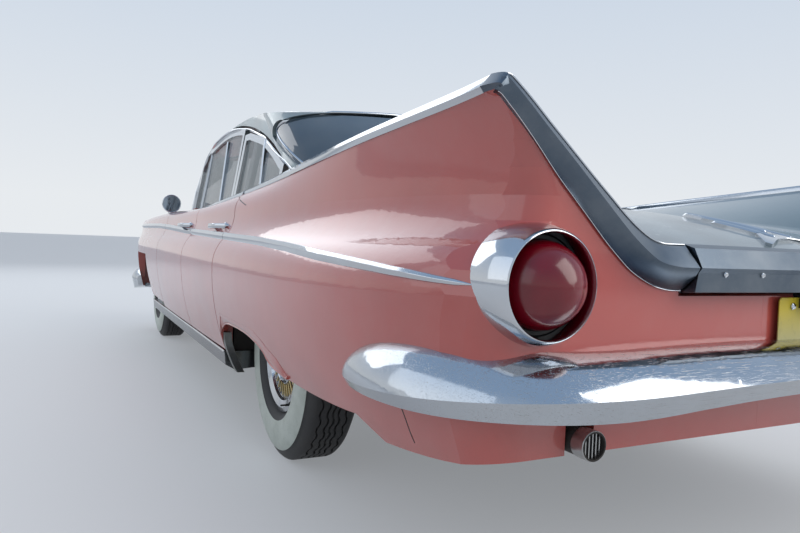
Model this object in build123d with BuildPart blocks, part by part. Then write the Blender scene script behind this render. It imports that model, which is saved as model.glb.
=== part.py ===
import os
from math import atan, cos, degrees, radians, sin, sqrt, tan

from build123d import *

os.makedirs("parts", exist_ok=True)

# Frame: +X forward, +Y to the driver's side, +Z up. The origin is on the floor, on the
# centreline, under the middle of the overall length. All sizes are in millimetres.

# Wheels and stance
front_axle_x = 1897
rear_axle_x = -1227
axle_z = 355
tyre_radius = 355
tyre_width = 205
tread_width = 140
rim_radius = 190
front_wheel_y = 775
rear_wheel_y = 760
kingpin_y = 690

# Body lengths, all measured along X
tail_x = -2600
nose_x = 2600
front_door_front = 870
front_door_length = 970
rear_door_length = 762
hinge_y = 1022
hood_rear = 1420
trunk_front = -1680
firewall_x = 1250
bulkhead_x = -1050

# Walls and gaps
skin = 50
panel_gap = 6
door_gap = 7
running_gap = 16
seat_gap = 0.3
door_inner_y = 840
door_belt_y = 765
sill_bottom = 250
sill_top = 325
door_bottom = sill_top + door_gap
floor_z = 300
rail_bottom = 205
rail_top = 290
lid_half_width = 445
glass_thick = 6
frame_width = 34
roof_thick = 28

# Half sections of the lower body, from tail to nose. Columns: x, bottom corner y and z,
# widest point y and z, hollow y and z, fin edge y and z, fin edge thickness,
# valley y and z, valley radius, centreline z.
body_rows = [
    (-2602, 900, 404, 905, 690, 822, 872, 912, 1050, 22, 530, 770, 90, 792),
    (-2150, 925, 345, 992, 675, 880, 882, 905, 1030, 22, 520, 868, 120, 892),
    (-1550, 945, 330, 1016, 665, 915, 884, 900, 994, 22, 560, 916, 120, 936),
    (-860, 955, 328, 1020, 665, 936, 880, 896, 956, 22, 600, 926, 120, 948),
    (-100, 958, 328, 1020, 670, 948, 872, 892, 926, 22, 640, 918, 120, 952),
    (870, 958, 328, 1018, 680, 958, 862, 846, 912, 22, 650, 900, 120, 948),
    (1500, 952, 330, 1012, 680, 962, 860, 872, 914, 22, 600, 872, 120, 926),
    (2100, 948, 340, 1002, 680, 958, 850, 898, 910, 22, 560, 824, 120, 876),
    (2600, 900, 420, 950, 690, 930, 830, 905, 896, 22, 480, 730, 110, 782),
]

# Level outlines of the glasshouse. Columns: height, front centre x, front corner x and y,
# front side x and y, rear side x and y, rear corner x and y, rear centre x.
glass_rows = [
    (880, 1450, 1270, 600, 930, 812, -960, 762, -1370, 560, -1600),
    (1130, 1215, 1060, 560, 890, 768, -730, 722, -1040, 580, -1250),
    (1400, 905, 815, 500, 600, 712, -290, 688, -640, 540, -775),
    (1480, 820, 730, 470, 500, 694, -160, 676, -510, 510, -625),
]

# Roof crown: highest point and the radii of its two arcs
roof_top = 1453
crown_x = 0
crown_length_radius = 3571
crown_width_radius = 4167

# Rounded corners of the tail seen from above. Columns: height, corner radius
tail_corners = [
    (280, 110),
    (480, 100),
    (600, 90),
    (690, 70),
    (735, 70),
    (781, 75),
    (826, 80),
    (872, 80),
    (920, 60),
    (965, 42),
    (1005, 24),
    (1050, 12),
    (1120, 12),
]


def station(x):
    """Upright plane across the car: its own x runs to the left and its own y runs up."""
    return Plane(origin=(x, 0, 0), x_dir=(0, 1, 0), z_dir=(1, 0, 0))


def block(x0, x1, y0, y1, z0, z1, mode=Mode.ADD):
    """Box between two corners."""
    with Locations(((x0 + x1) / 2, (y0 + y1) / 2, (z0 + z1) / 2)):
        Box(abs(x1 - x0), abs(y1 - y0), abs(z1 - z0), mode=mode)


def finish(piece, name):
    """Label a finished piece and write it."""
    piece.part.label = name
    export_step(piece.part, f"parts/{name}.step")
    print(name, len(piece.part.solids()), round(piece.part.volume / 1e6, 2), "litres")


def body_section(row):
    """Closed half section of the outer body: lines and tangent arcs."""
    x, yb, zb, ym, zm, yh, zh, yf, zf, edge, yv, zv, rv, zc = row
    ys = (ym + yh) / 2
    zs = (zm + zh) / 2
    with BuildSketch(station(x)) as section:
        with BuildLine():
            Line((0, zb), (yb, zb))
            TangentArc((ym, zm), (yb, zb), tangent=(0, -1))
            TangentArc((ym, zm), (ys, zs), tangent=(0, 1))
            TangentArc((yh, zh), (ys, zs), tangent=(0, -1))
            TangentArc((yh, zh), (yf, zf), tangent=(0, 1))
            Line((yf, zf), (yf - edge, zf + edge / 2))
            FilletPolyline((yf - edge, zf + edge / 2), (yv, zv), (0, zc), radius=rv)
            Line((0, zc), (0, zb))
        make_face()
    return section.sketch


def core_section(row):
    """Closed half section of the space inside the skin."""
    x, yb, zb, ym, zm, yh, zh, yf, zf, edge, yv, zv, rv, zc = row
    with BuildSketch(station(x)) as section:
        with BuildLine():
            Polyline(
                (0, 0),
                (ym - skin, 0),
                (ym - skin, zm),
                (yh - skin, zv - skin),
                (0, zv - skin),
                close=True,
            )
        make_face()
    return section.sketch


def bulge(depth, height, rise):
    """How far an upright tangent arc has come in at a height above or below its start."""
    radius = (depth ** 2 + height ** 2) / (2 * depth)
    return radius - sqrt(radius ** 2 - rise ** 2)


def side_at(row, z):
    """Half width of a body section's side at one height."""
    x, yb, zb, ym, zm, yh, zh, yf, zf, edge, yv, zv, rv, zc = row
    ys = (ym + yh) / 2
    zs = (zm + zh) / 2
    if z <= zm:
        return ym - bulge(ym - yb, zm - zb, zm - max(z, zb))
    if z <= zs:
        return ym - bulge(ym - ys, zs - zm, z - zm)
    if z <= zh:
        return yh + bulge(ys - yh, zh - zs, zh - z)
    return yh + bulge(abs(yf - yh), zf - zh, min(z, zf) - zh) * (1 if yf > yh else -1)


def corner_outline(z, radius):
    """Level outline with a rounded tail corner that meets the body side."""
    flare = 12
    reach = 4000
    rear_y = side_at(body_rows[0], z)
    front_y = side_at(body_rows[1], z)
    slope = (front_y - rear_y) / (body_rows[1][0] - body_rows[0][0])
    lean = degrees(atan(slope)) + flare
    at_corner = rear_y + slope * radius
    centre_y = at_corner - radius / cos(atan(slope)) + radius * (1 - cos(radians(flare)))
    centre_x = tail_x + radius
    out = radians(90 + lean)
    end = (centre_x + radius * cos(out), centre_y + radius * sin(out))
    half = radians(180 - (90 - lean) / 2)
    middle = (centre_x + radius * cos(half), centre_y + radius * sin(half))
    far_y = end[1] + reach * tan(radians(lean))
    with BuildSketch(Plane.XY.offset(z)) as outline:
        with BuildLine():
            ThreePointArc((tail_x, centre_y), middle, end)
            Polyline(end, (end[0] + reach, far_y), (2 * nose_x, far_y), (2 * nose_x, -200),
                     (tail_x, -200), (tail_x, centre_y))
        make_face()
    return outline.sketch


# Left half of the solid outer body with its tail corner rounded, and of the space inside it
with BuildPart() as tail_shaper:
    loft([corner_outline(z, radius) for z, radius in tail_corners], ruled=True)

with BuildPart() as half_body:
    loft([body_section(row) for row in body_rows])
    add(tail_shaper.part, mode=Mode.INTERSECT)

with BuildPart() as half_core:
    loft([core_section(row) for row in body_rows], ruled=True)


def glass_outline(row, inset):
    """Level outline of the glasshouse, pulled in by a distance."""
    z, xf, xc, yc, xs, ys, xr, yr, xq, yq, xt = row
    left = [(xc - inset, yc - inset), (xs, ys - inset), (xr, yr - inset), (xq + inset, yq - inset)]
    right = [(x, -y) for x, y in left]
    with BuildSketch(Plane.XY.offset(z)) as outline:
        with BuildLine():
            front = ThreePointArc(right[0], (xf - inset, 0), left[0])
            TangentArc(left[0], left[1], tangent=front % 1)
            Line(left[1], left[2])
            rear = ThreePointArc(left[3], (xt + inset, 0), right[3])
            TangentArc(left[3], left[2], tangent=(rear % 0) * -1)
            TangentArc(right[3], right[2], tangent=rear % 1)
            Line(right[2], right[1])
            TangentArc(right[0], right[1], tangent=(front % 0) * -1)
        make_face()
    return outline.sketch


def crown(inset):
    """Everything under the roof crown, lowered by a distance."""
    top = roof_top - inset
    swing = 50
    half_width = 1100
    drop = crown_width_radius - sqrt(crown_width_radius ** 2 - half_width ** 2)
    pivot = Plane(
        origin=(crown_x, 0, roof_top - crown_length_radius), x_dir=(0, 1, 0), z_dir=(1, 0, 0)
    )
    start = pivot.rotated((0, -swing / 2, 0))
    base = crown_length_radius - roof_top
    with BuildPart() as cap:
        with BuildSketch(start):
            with BuildLine():
                ThreePointArc(
                    (-half_width, base + top - drop), (0, base + top), (half_width, base + top - drop)
                )
                Polyline(
                    (half_width, base + top - drop),
                    (half_width, base + 500),
                    (-half_width, base + 500),
                    (-half_width, base + top - drop),
                )
            make_face()
        revolve(axis=Axis(pivot.origin, (0, 1, 0)), revolution_arc=swing)
    return cap


def glasshouse(inset):
    """Solid glasshouse under its crown, pulled in all round by a distance."""
    with BuildPart() as house:
        loft([glass_outline(row, inset) for row in glass_rows])
        add(crown(inset).part, mode=Mode.INTERSECT)
    return house


opening_front = front_door_front + running_gap


def side_opening(shrink):
    """Door opening seen from the side: A-pillar, arched roof rail and C-pillar."""
    with BuildSketch(Plane.XZ) as opening:
        with BuildLine():
            Line((opening_front, 700), (opening_front, 1150))
            ThreePointArc((opening_front, 1150), (826, 1285), (660, 1338))
            ThreePointArc((660, 1338), (310, 1383), (-50, 1358))
            ThreePointArc((-50, 1358), (-420, 1270), (-760, 1130))
            Polyline((-760, 1130), (-1000, 1025), (-1000, 700), (opening_front, 700))
        make_face()
        if shrink:
            offset(amount=-shrink)
    return opening.sketch


def screen_opening(shrink):
    """Windscreen opening seen from the side."""
    with BuildSketch(Plane.XZ) as opening:
        with BuildLine():
            Line((948, 850), (948, 1150))
            ThreePointArc((948, 1150), (905, 1250), (815, 1308))
            Polyline((815, 1308), (960, 1345), (1700, 1500), (1700, 850), (948, 850))
        make_face()
        if shrink:
            offset(amount=-shrink)
    return opening.sketch


def rear_opening(shrink):
    """Wrapped rear window opening seen from the side."""
    with BuildSketch(Plane.XZ) as opening:
        with BuildLine():
            Line((-1234, 930), (-568, 1240))
            ThreePointArc((-568, 1240), (-578, 1282), (-640, 1304))
            Polyline((-640, 1304), (-820, 1350), (-1900, 1560), (-1900, 850), (-1234, 850), (-1234, 930))
        make_face()
        if shrink:
            offset(amount=-shrink)
    return opening.sketch


outer_house = glasshouse(0)
inner_house = glasshouse(roof_thick)
glass_outer = glasshouse(roof_thick / 2 - glass_thick / 2)
glass_inner = glasshouse(roof_thick / 2 + glass_thick / 2)

# Cabin space under the glasshouse, carried down through the tops of the side panels
cabin_low = 700
with BuildPart() as cabin_space:
    add(inner_house.part)
    extrude(glass_outline(glass_rows[0], roof_thick), amount=cabin_low - glass_rows[0][0])

# Full core, closed by walls at the tail and the nose
tail_wall = 60
nose_wall = 180
with BuildPart() as core:
    add(half_core.part)
    block(tail_x + tail_wall, nose_x - nose_wall, -10, 1100, -10, 1200, Mode.INTERSECT)
    mirror(about=Plane.XZ)

with BuildPart() as body:
    add(half_body.part)
    mirror(about=Plane.XZ)

# Door swing: each rear edge lies on a cylinder round its own hinge, so it clears all the way
front_hinge_x = front_door_front
rear_hinge_x = front_door_front - front_door_length - panel_gap
door_rear_x = rear_hinge_x - rear_door_length
swing_height = 2000


def hinge_cylinder(x, radius, mode):
    """Upright cylinder round a door hinge."""
    with Locations((x, hinge_y, 800)):
        Cylinder(radius, swing_height, mode=mode)


# Hinge arms of the doors, hood and trunk lid, each in a pocket of the piece that swings.
# Door arms: heights of their undersides. Hood and lid arms: distances from the centreline.
door_arms = (570, 660)
lid_arms = (-270, 230)
arm_width = 40
arm_reach = 45
arm_outer_y = hinge_y - 22
hood_arm_z = 880
trunk_arm_z = 905
arm_thick = 30


def door_arm(x, inner_y, clearance, mode):
    """Arms beside one door hinge, or with a clearance their pockets."""
    for z in door_arms:
        block(
            x - arm_reach - clearance,
            x + arm_width,
            inner_y,
            arm_outer_y + clearance,
            z - clearance,
            z + arm_width + clearance,
            mode,
        )


def lid_arm(x, way, top, low, clearance, mode):
    """Arms under the hinge line of the hood or the trunk lid, or their pockets."""
    for y in lid_arms:
        block(
            x - way * arm_width,
            x + way * (arm_reach + clearance),
            y - clearance,
            y + arm_width + clearance,
            low,
            top + clearance,
            mode,
        )


def roof_shell():
    """Thin shell of the glasshouse, left and right."""
    with BuildPart() as shell:
        add(outer_house.part)
        add(inner_house.part, mode=Mode.SUBTRACT)
    return shell


house_shell = roof_shell()
with BuildPart() as glass_shell:
    add(glass_outer.part)
    add(body.part, mode=Mode.SUBTRACT)
    add(glass_inner.part, mode=Mode.SUBTRACT)

# Roof, with the three pairs of pillars
pillar_half = 42
with BuildPart() as roof:
    add(house_shell.part)
    for opening in (side_opening(0), screen_opening(0), rear_opening(0)):
        extrude(opening, amount=1000, both=True, mode=Mode.SUBTRACT)
    add(body.part, mode=Mode.SUBTRACT)
    with BuildSketch(station(-103 - pillar_half)) as post:
        with BuildLine():
            Polyline(
                (775, sill_top),
                (824, sill_top),
                (824, 756),
                (742, 850),
                (664, 1250),
                (647, 1388),
                (615, 1388),
                (715, 850),
                (775, 740),
                close=True,
            )
        make_face()
        mirror(about=Plane.YZ)
    extrude(amount=2 * pillar_half)
    for z in door_arms:
        for side in (-1, 1):
            block(
                rear_hinge_x - arm_reach,
                rear_hinge_x,
                side * 800,
                side * arm_outer_y,
                z,
                z + arm_width,
            )
finish(roof, "roof")

# Windscreen and rear window, 0.3 mm inside their openings
with BuildPart() as windscreen:
    add(glass_shell.part)
    extrude(screen_opening(seat_gap), amount=1000, both=True, mode=Mode.INTERSECT)
finish(windscreen, "windscreen")

with BuildPart() as rear_window:
    add(glass_shell.part)
    extrude(rear_opening(seat_gap), amount=1000, both=True, mode=Mode.INTERSECT)
finish(rear_window, "rear_window")

# Doors: thick lower part with its sill edge, thin frame above the belt
door_section = [
    (door_inner_y, door_bottom),
    (1100, door_bottom),
    (1100, 1200),
    (door_belt_y, 1200),
    (door_belt_y, 830),
    (door_inner_y, 770),
]
wheelhouse_x = -835
door_inner_rear = wheelhouse_x + 35
frame_bottom = 890


def door_outline(front_x, rear_x):
    """Lower door between two stations, before its seams are cut."""
    with BuildPart() as lower:
        add(half_body.part)
        with BuildSketch(station(rear_x)):
            with BuildLine():
                Polyline(*door_section, close=True)
            make_face()
        extrude(amount=front_x - rear_x, mode=Mode.INTERSECT)
    return lower


def swing_cut(lowered):
    """Prism over the front top corner of the rear door's frame, which swings under the rail."""
    with BuildPart() as cut:
        with BuildSketch(Plane.XZ):
            with BuildLine():
                Polyline(
                    (-40, 1308 - lowered),
                    (-170, 1305 - lowered),
                    (-420, 1252 - lowered),
                    (-420, 1400),
                    (-40, 1400),
                    close=True,
                )
            make_face()
        extrude(amount=1000, both=True)
    return cut


def window_prism(front_x, rear_x, hinge_x, reach, border):
    """Solid through a door's window, a border inside the door's outline."""
    window_front = front_x - panel_gap - border
    window_rear = rear_x + panel_gap + border
    with BuildPart() as prism:
        with BuildSketch(Plane.XZ):
            add(side_opening(running_gap + border))
            with Locations(((window_front + window_rear) / 2, 1100)):
                Rectangle(window_front - window_rear, 800, mode=Mode.INTERSECT)
        extrude(amount=1000, both=True)
        hinge_cylinder(hinge_x, reach - border, Mode.INTERSECT)
        if hinge_x == rear_hinge_x:
            add(swing_cut(border).part, mode=Mode.SUBTRACT)
    return prism


def door_frame(front_x, rear_x, hinge_x, reach):
    """Window frame of a door: the outer shell inside the arched opening."""
    with BuildPart() as frame:
        add(house_shell.part)
        extrude(side_opening(running_gap), amount=1000, both=True, mode=Mode.INTERSECT)
        block(rear_x - 50, front_x, 500, 1000, frame_bottom, 1500, Mode.INTERSECT)
        add(window_prism(front_x, rear_x, hinge_x, reach, frame_width).part, mode=Mode.SUBTRACT)
    return frame


def door_glass(front_x, rear_x, hinge_x, reach):
    """Side glass, standing 0.3 mm off its frame."""
    prism = window_prism(front_x, rear_x, hinge_x, reach, frame_width + seat_gap)
    with BuildPart() as glass:
        add(glass_shell.part)
        add(prism.part, mode=Mode.INTERSECT)
        block(rear_x - 50, front_x + 20, 500, 1000, frame_bottom, 1500, Mode.INTERSECT)
    return glass


def both_sides(piece, stem, kind=""):
    """Write a left piece and its mirror image."""
    finish(piece, f"{stem}_left{kind}")
    with BuildPart() as other:
        mirror(piece.part, about=Plane.XZ)
    finish(other, f"{stem}_right{kind}")


front_arm_y = 940
front_pocket_y = 925
with BuildPart() as front_door:
    add(door_outline(front_door_front, rear_hinge_x - 200).part)
    add(door_frame(front_door_front, rear_hinge_x + 40, front_hinge_x, front_door_length).part)
    hinge_cylinder(front_hinge_x, front_door_length, Mode.INTERSECT)
    door_arm(front_hinge_x, front_pocket_y, seat_gap, Mode.SUBTRACT)
both_sides(front_door, "door_front")

with BuildPart() as rear_door:
    add(door_outline(rear_hinge_x + 200, door_rear_x - 5).part)
    add(door_frame(rear_hinge_x + 36, door_rear_x, rear_hinge_x, rear_door_length).part)
    add(swing_cut(0).part, mode=Mode.SUBTRACT)
    hinge_cylinder(front_hinge_x, front_door_length + panel_gap, Mode.SUBTRACT)
    hinge_cylinder(rear_hinge_x, rear_door_length, Mode.INTERSECT)
    block(door_rear_x - 50, door_inner_rear, 500, 930, 0, 700, Mode.SUBTRACT)
    door_arm(rear_hinge_x, 700, seat_gap, Mode.SUBTRACT)
both_sides(rear_door, "door_rear")

front_glass = door_glass(front_door_front, rear_hinge_x + 40, front_hinge_x, front_door_length)
both_sides(front_glass, "door_front", "_glass")
rear_glass = door_glass(rear_hinge_x + 36, door_rear_x, rear_hinge_x, rear_door_length)
both_sides(rear_glass, "door_rear", "_glass")

# Hood line in plan, from the cowl to the nose
hood_rear_y = 640
hood_front_y = 470
hood_straight = hood_rear + 200


def hood_plan(gap):
    """Plan of everything inboard of the hood line, less a gap."""
    with BuildSketch(Plane.XY.offset(400)) as plan:
        with BuildLine():
            Polyline(
                (0, hood_rear_y - gap),
                (hood_straight, hood_rear_y - gap),
                (nose_x + 50, hood_front_y - gap),
                (nose_x + 50, -(hood_front_y - gap)),
                (hood_straight, -(hood_rear_y - gap)),
                (0, -(hood_rear_y - gap)),
                close=True,
            )
        make_face()
    return plan.sketch


# Headlamps, in canted pairs. Columns: y, z
headlamps = [(600, 680), (780, 752)]
headlamp_radius = 73
headlamp_depth = 90
bezel_wall = 14
grille_top = 690
grille_bottom = 470
grille_half = 500

front_arch = [(1470, 0), (1470, 430), (1560, 640), (2230, 640), (2340, 430), (2340, 0)]
rear_arch_front = door_rear_x - panel_gap - 2
rear_arch_top = 475


def headlamp_places():
    """Lamp centres on the nose plane."""
    return Locations(*[(y, z) for y, z in headlamps])


with BuildPart() as fender:
    add(half_body.part)
    add(core.part, mode=Mode.SUBTRACT)
    block(front_door_front + panel_gap, nose_x, 0, 1100, 0, 1200, Mode.INTERSECT)
    extrude(hood_plan(0), amount=900, mode=Mode.SUBTRACT)
    block(nose_x - nose_wall - 5, nose_x + 5, -10, grille_half, 300, grille_top, Mode.SUBTRACT)
    with BuildSketch(Plane.XZ):
        with BuildLine():
            Polyline(*front_arch, close=True)
        make_face()
        fillet([v for v in vertices() if v.Z > 100], 90)
    extrude(amount=-1200, mode=Mode.SUBTRACT)
    add(cabin_space.part, mode=Mode.SUBTRACT)
    with BuildSketch(station(nose_x + 5)):
        with headlamp_places():
            Circle(headlamp_radius + bezel_wall + seat_gap)
    extrude(amount=-headlamp_depth - 5, mode=Mode.SUBTRACT)
    door_arm(front_hinge_x, front_arm_y, 0, Mode.ADD)
both_sides(fender, "fender")

# Tail lamps sit in pods at the ends of the body-side bulges
tail_lamp_y = 800
tail_lamp_z = 714
tail_lamp_radius = 105
tail_lens_radius = 80
tail_sleeve_front = -2540
tail_sleeve_rear = -2642
plate_half = 190
tail_split_z = 694

# End of the exhaust, in a notch of the driver's quarter panel and its mirror image
tailpipe_y = 690
tailpipe_z = 428
tailpipe_radius = 27
tailpipe_bore = 24
tailpipe_end = -2640
pipe_clearance = 7

with BuildPart() as quarter:
    add(half_body.part)
    add(core.part, mode=Mode.SUBTRACT)
    block(tail_x, rear_hinge_x - 600, 0, 1100, 0, 1200, Mode.INTERSECT)
    hinge_cylinder(rear_hinge_x, rear_door_length + panel_gap, Mode.SUBTRACT)
    inboard = lid_half_width + panel_gap
    block(tail_x - 5, 0, -10, inboard, tail_split_z, 1200, Mode.SUBTRACT)
    block(tail_x - 5, 0, -10, plate_half, 0, 1200, Mode.SUBTRACT)
    block(-1100, 0, 0, door_belt_y, 0, 1200, Mode.SUBTRACT)
    block(wheelhouse_x - 20, 0, 0, 925, 0, 800, Mode.SUBTRACT)
    with BuildSketch(Plane.XZ):
        with BuildLine():
            Polyline(
                (rear_arch_front, 0),
                (rear_arch_front, 400),
                (-950, rear_arch_top),
                (-1420, rear_arch_top),
                (-1640, 415),
                (-1740, 345),
                (-1740, 0),
                close=True,
            )
        make_face()
        fillet([v for v in vertices() if 399 < v.Z < 500], 60)
    extrude(amount=-1200, mode=Mode.SUBTRACT)
    add(cabin_space.part, mode=Mode.SUBTRACT)
    with BuildSketch(station(tail_x - 5)):
        with Locations((tail_lamp_y, tail_lamp_z)):
            Circle(tail_lamp_radius + seat_gap)
    extrude(amount=tail_sleeve_front - tail_x + 5, mode=Mode.SUBTRACT)
    notch_low = tailpipe_y - tailpipe_radius - pipe_clearance
    notch_high = tailpipe_y + tailpipe_radius + pipe_clearance
    notch_top = tailpipe_z + tailpipe_radius + pipe_clearance
    block(tail_x - 5, tail_x + tail_wall + 5, notch_low, notch_high, 0, notch_top, Mode.SUBTRACT)
both_sides(quarter, "quarter")

with BuildPart() as tail_panel:
    add(body.part)
    add(core.part, mode=Mode.SUBTRACT)
    edge = plate_half - seat_gap
    block(tail_x, tail_x + 200, -edge, edge, 0, tail_split_z, Mode.INTERSECT)
finish(tail_panel, "tail_panel")

with BuildPart() as trunk_lid:
    add(body.part)
    add(core.part, mode=Mode.SUBTRACT)
    block(tail_x, trunk_front, -lid_half_width, lid_half_width, tail_split_z + panel_gap, 1200, Mode.INTERSECT)
    lid_arm(trunk_front, -1, trunk_arm_z, 800, seat_gap, Mode.SUBTRACT)
finish(trunk_lid, "trunk_lid")

# Fixed deck between the rear window and the trunk lid, with the parcel shelf
shelf_z = 885
with BuildPart() as cabin_top:
    add(inner_house.part)
    block(-2000, 2000, -1000, 1000, shelf_z, 1500, Mode.INTERSECT)

with BuildPart() as deck_panel:
    add(body.part)
    add(core.part, mode=Mode.SUBTRACT)
    block(trunk_front + panel_gap, -1100, -lid_half_width - 5, lid_half_width + 5, 700, 1200, Mode.INTERSECT)
    add(cabin_top.part, mode=Mode.SUBTRACT)
    lid_arm(trunk_front, -1, trunk_arm_z, trunk_arm_z - arm_thick, 0, Mode.ADD)
finish(deck_panel, "deck_panel")

with BuildPart() as hood:
    add(body.part)
    add(core.part, mode=Mode.SUBTRACT)
    block(hood_rear, nose_x, -1000, 1000, grille_top + 5, 1200, Mode.INTERSECT)
    extrude(hood_plan(panel_gap), amount=900, mode=Mode.INTERSECT)
    lid_arm(hood_rear, 1, hood_arm_z, 700, seat_gap, Mode.SUBTRACT)
finish(hood, "hood")

# Cowl top, firewall and the inner panels beside the engine
apron_y = 470
with BuildPart() as cowl:
    add(body.part)
    add(core.part, mode=Mode.SUBTRACT)
    block(firewall_x - 150, hood_rear - panel_gap, -1000, 1000, 700, 1200, Mode.INTERSECT)
    extrude(hood_plan(1), amount=900, mode=Mode.INTERSECT)
    add(cabin_top.part, mode=Mode.SUBTRACT)
    block(firewall_x, firewall_x + 20, -790, 790, floor_z, 826)
    block(firewall_x, firewall_x + 20, -630, 630, floor_z, 845)
    for side in (-1, 1):
        block(firewall_x + 20, 2400, side * apron_y, side * (apron_y + 15), 510, 700)
    lid_arm(hood_rear, 1, hood_arm_z, hood_arm_z - arm_thick, 0, Mode.ADD)
finish(cowl, "cowl")

# Sills, with a bright outer face
sill_outer = 962
sill_inner = 800
with BuildPart() as sills:
    with BuildSketch(station(rear_arch_front + 6)):
        with BuildLine():
            Polyline(
                (sill_inner, sill_bottom + 10),
                (sill_outer - 45, sill_bottom),
                (sill_outer - 6, sill_bottom + 22),
                (sill_outer, sill_top),
                (sill_inner, sill_top),
                close=True,
            )
        make_face()
        mirror(about=Plane.YZ)
    extrude(amount=1440 - rear_arch_front)
finish(sills, "sills")

# Floor of the cabin and the trunk tub, one pressed sheet with its tunnel
trunk_floor_z = 450
trunk_rear = tail_x + tail_wall + 2
tub_half = 600
tub_top = 695
sheet = 12
with BuildPart() as floor_pan:
    with BuildSketch(station(bulkhead_x)):
        with BuildLine():
            Polyline(
                (seat_gap - sill_inner, floor_z),
                (-150, floor_z),
                (-110, floor_z + 120),
                (110, floor_z + 120),
                (150, floor_z),
                (sill_inner - seat_gap, floor_z),
                (sill_inner - seat_gap, floor_z + sheet),
                (140, floor_z + sheet),
                (100, floor_z + 120 + sheet),
                (-100, floor_z + 120 + sheet),
                (-140, floor_z + sheet),
                (seat_gap - sill_inner, floor_z + sheet),
                close=True,
            )
        make_face()
    extrude(amount=firewall_x - seat_gap - bulkhead_x)
    for side in (-1, 1):
        block(
            bulkhead_x - 1,
            wheelhouse_x - 15,
            side * (tub_half + sheet),
            side * sill_inner,
            floor_z - 1,
            floor_z + sheet + 1,
            Mode.SUBTRACT,
        )
    block(bulkhead_x - sheet, bulkhead_x, -tub_half - sheet, tub_half + sheet, floor_z, 840)
    block(trunk_rear, bulkhead_x, -tub_half, tub_half, trunk_floor_z, trunk_floor_z + sheet)
    for side in (-1, 1):
        block(trunk_rear, bulkhead_x, side * tub_half, side * (tub_half + sheet), trunk_floor_z, tub_top)
        block(bulkhead_x, wheelhouse_x - 15, side * tub_half, side * (tub_half + sheet), floor_z, tub_top)
        block(wheelhouse_x - 15, wheelhouse_x - 3, side * tub_half, side * (sill_inner - 1), floor_z, tub_top)
        block(wheelhouse_x - 15, wheelhouse_x - 3, side * tub_half, side * 922, sill_top + 1, tub_top)
    block(-2300, -1620, -380, 380, rail_top + 5, trunk_floor_z)
    for side in (-1, 1):
        block(1170, 1240, side * 325, side * 385, rail_top + seat_gap, floor_z)
        block(-1045, -955, side * 410, side * 470, rail_top + seat_gap, floor_z)
finish(floor_pan, "floor_pan")

# Cross-shaped chassis frame
frame_nose = 2440
frame_tail = -2050
frame_plan = [
    (frame_nose, 400),
    (1250, 400),
    (350, 130),
    (-250, 130),
    (-900, 480),
    (frame_tail, 480),
    (frame_tail, 400),
    (-950, 400),
    (-200, 40),
    (300, 40),
    (1150, 310),
    (frame_nose, 310),
]
with BuildPart() as chassis_frame:
    with BuildSketch(Plane.XY.offset(rail_bottom)):
        for side in (-1, 1):
            with BuildLine():
                Polyline(*[(x, side * y) for x, y in frame_plan], close=True)
            make_face()
    extrude(amount=rail_top - rail_bottom)
    block(-200, 300, -45, 45, rail_bottom, rail_top)
    block(2360, 2430, -320, 320, rail_bottom, rail_top)
    block(frame_tail + 10, frame_tail + 80, -410, 410, rail_bottom, rail_top)
    block(1800, 1990, -320, 320, rail_bottom, rail_top - 20)
finish(chassis_frame, "chassis_frame")

# Axle ends, hubs and steering pins
spindle_radius = 22
spindle_gap = 0.06
spindle_tip = 815
arm_top = 235
arm_upper = 466
knuckle_radius = 24

with BuildPart() as rear_axle:
    with BuildSketch(Plane.XZ):
        with Locations((rear_axle_x, axle_z)):
            Circle(38)
    extrude(amount=640, both=True)
    with BuildSketch(Plane.XZ):
        with Locations((rear_axle_x, axle_z)):
            Circle(spindle_radius)
    extrude(amount=spindle_tip, both=True)
    with Locations((rear_axle_x, 0, axle_z)):
        Sphere(92)
    for side in (-1, 1):
        block(rear_axle_x, -1080, side * 410, side * 470, rail_top + seat_gap, rail_top + 60)
    for side in (-1, 1):
        block(rear_axle_x - 45, rear_axle_x + 45, side * 405, side * 475, rail_top + seat_gap, axle_z)
finish(rear_axle, "rear_axle")

with BuildPart() as front_suspension:
    for low, high in ((arm_top - 26, arm_top), (arm_upper, arm_upper + 22)):
        with BuildSketch(Plane.XY.offset(low)):
            for side in (-1, 1):
                with BuildLine():
                    Polyline(
                        (front_axle_x - 120, side * (400 + seat_gap)),
                        (front_axle_x - 26, side * kingpin_y),
                        (front_axle_x + 26, side * kingpin_y),
                        (front_axle_x + 120, side * (400 + seat_gap)),
                        close=True,
                    )
                make_face()
                with Locations((front_axle_x, side * kingpin_y)):
                    Circle(28)
        extrude(amount=high - low)
    for side in (-1, 1):
        block(
            front_axle_x - 75,
            front_axle_x + 75,
            side * 330,
            side * 425,
            rail_top + seat_gap,
            arm_upper + 22,
        )
finish(front_suspension, "front_suspension")

with BuildPart() as knuckle:
    with BuildSketch(Plane.XY.offset(arm_top + seat_gap)):
        with Locations((front_axle_x, kingpin_y)):
            Circle(knuckle_radius)
    extrude(amount=arm_upper - arm_top - 2 * seat_gap)
    with BuildSketch(Plane.XZ.offset(-kingpin_y)):
        with Locations((front_axle_x, axle_z)):
            Circle(spindle_radius)
    extrude(amount=-(spindle_tip + 15 - kingpin_y))
both_sides(knuckle, "knuckle")


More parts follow.
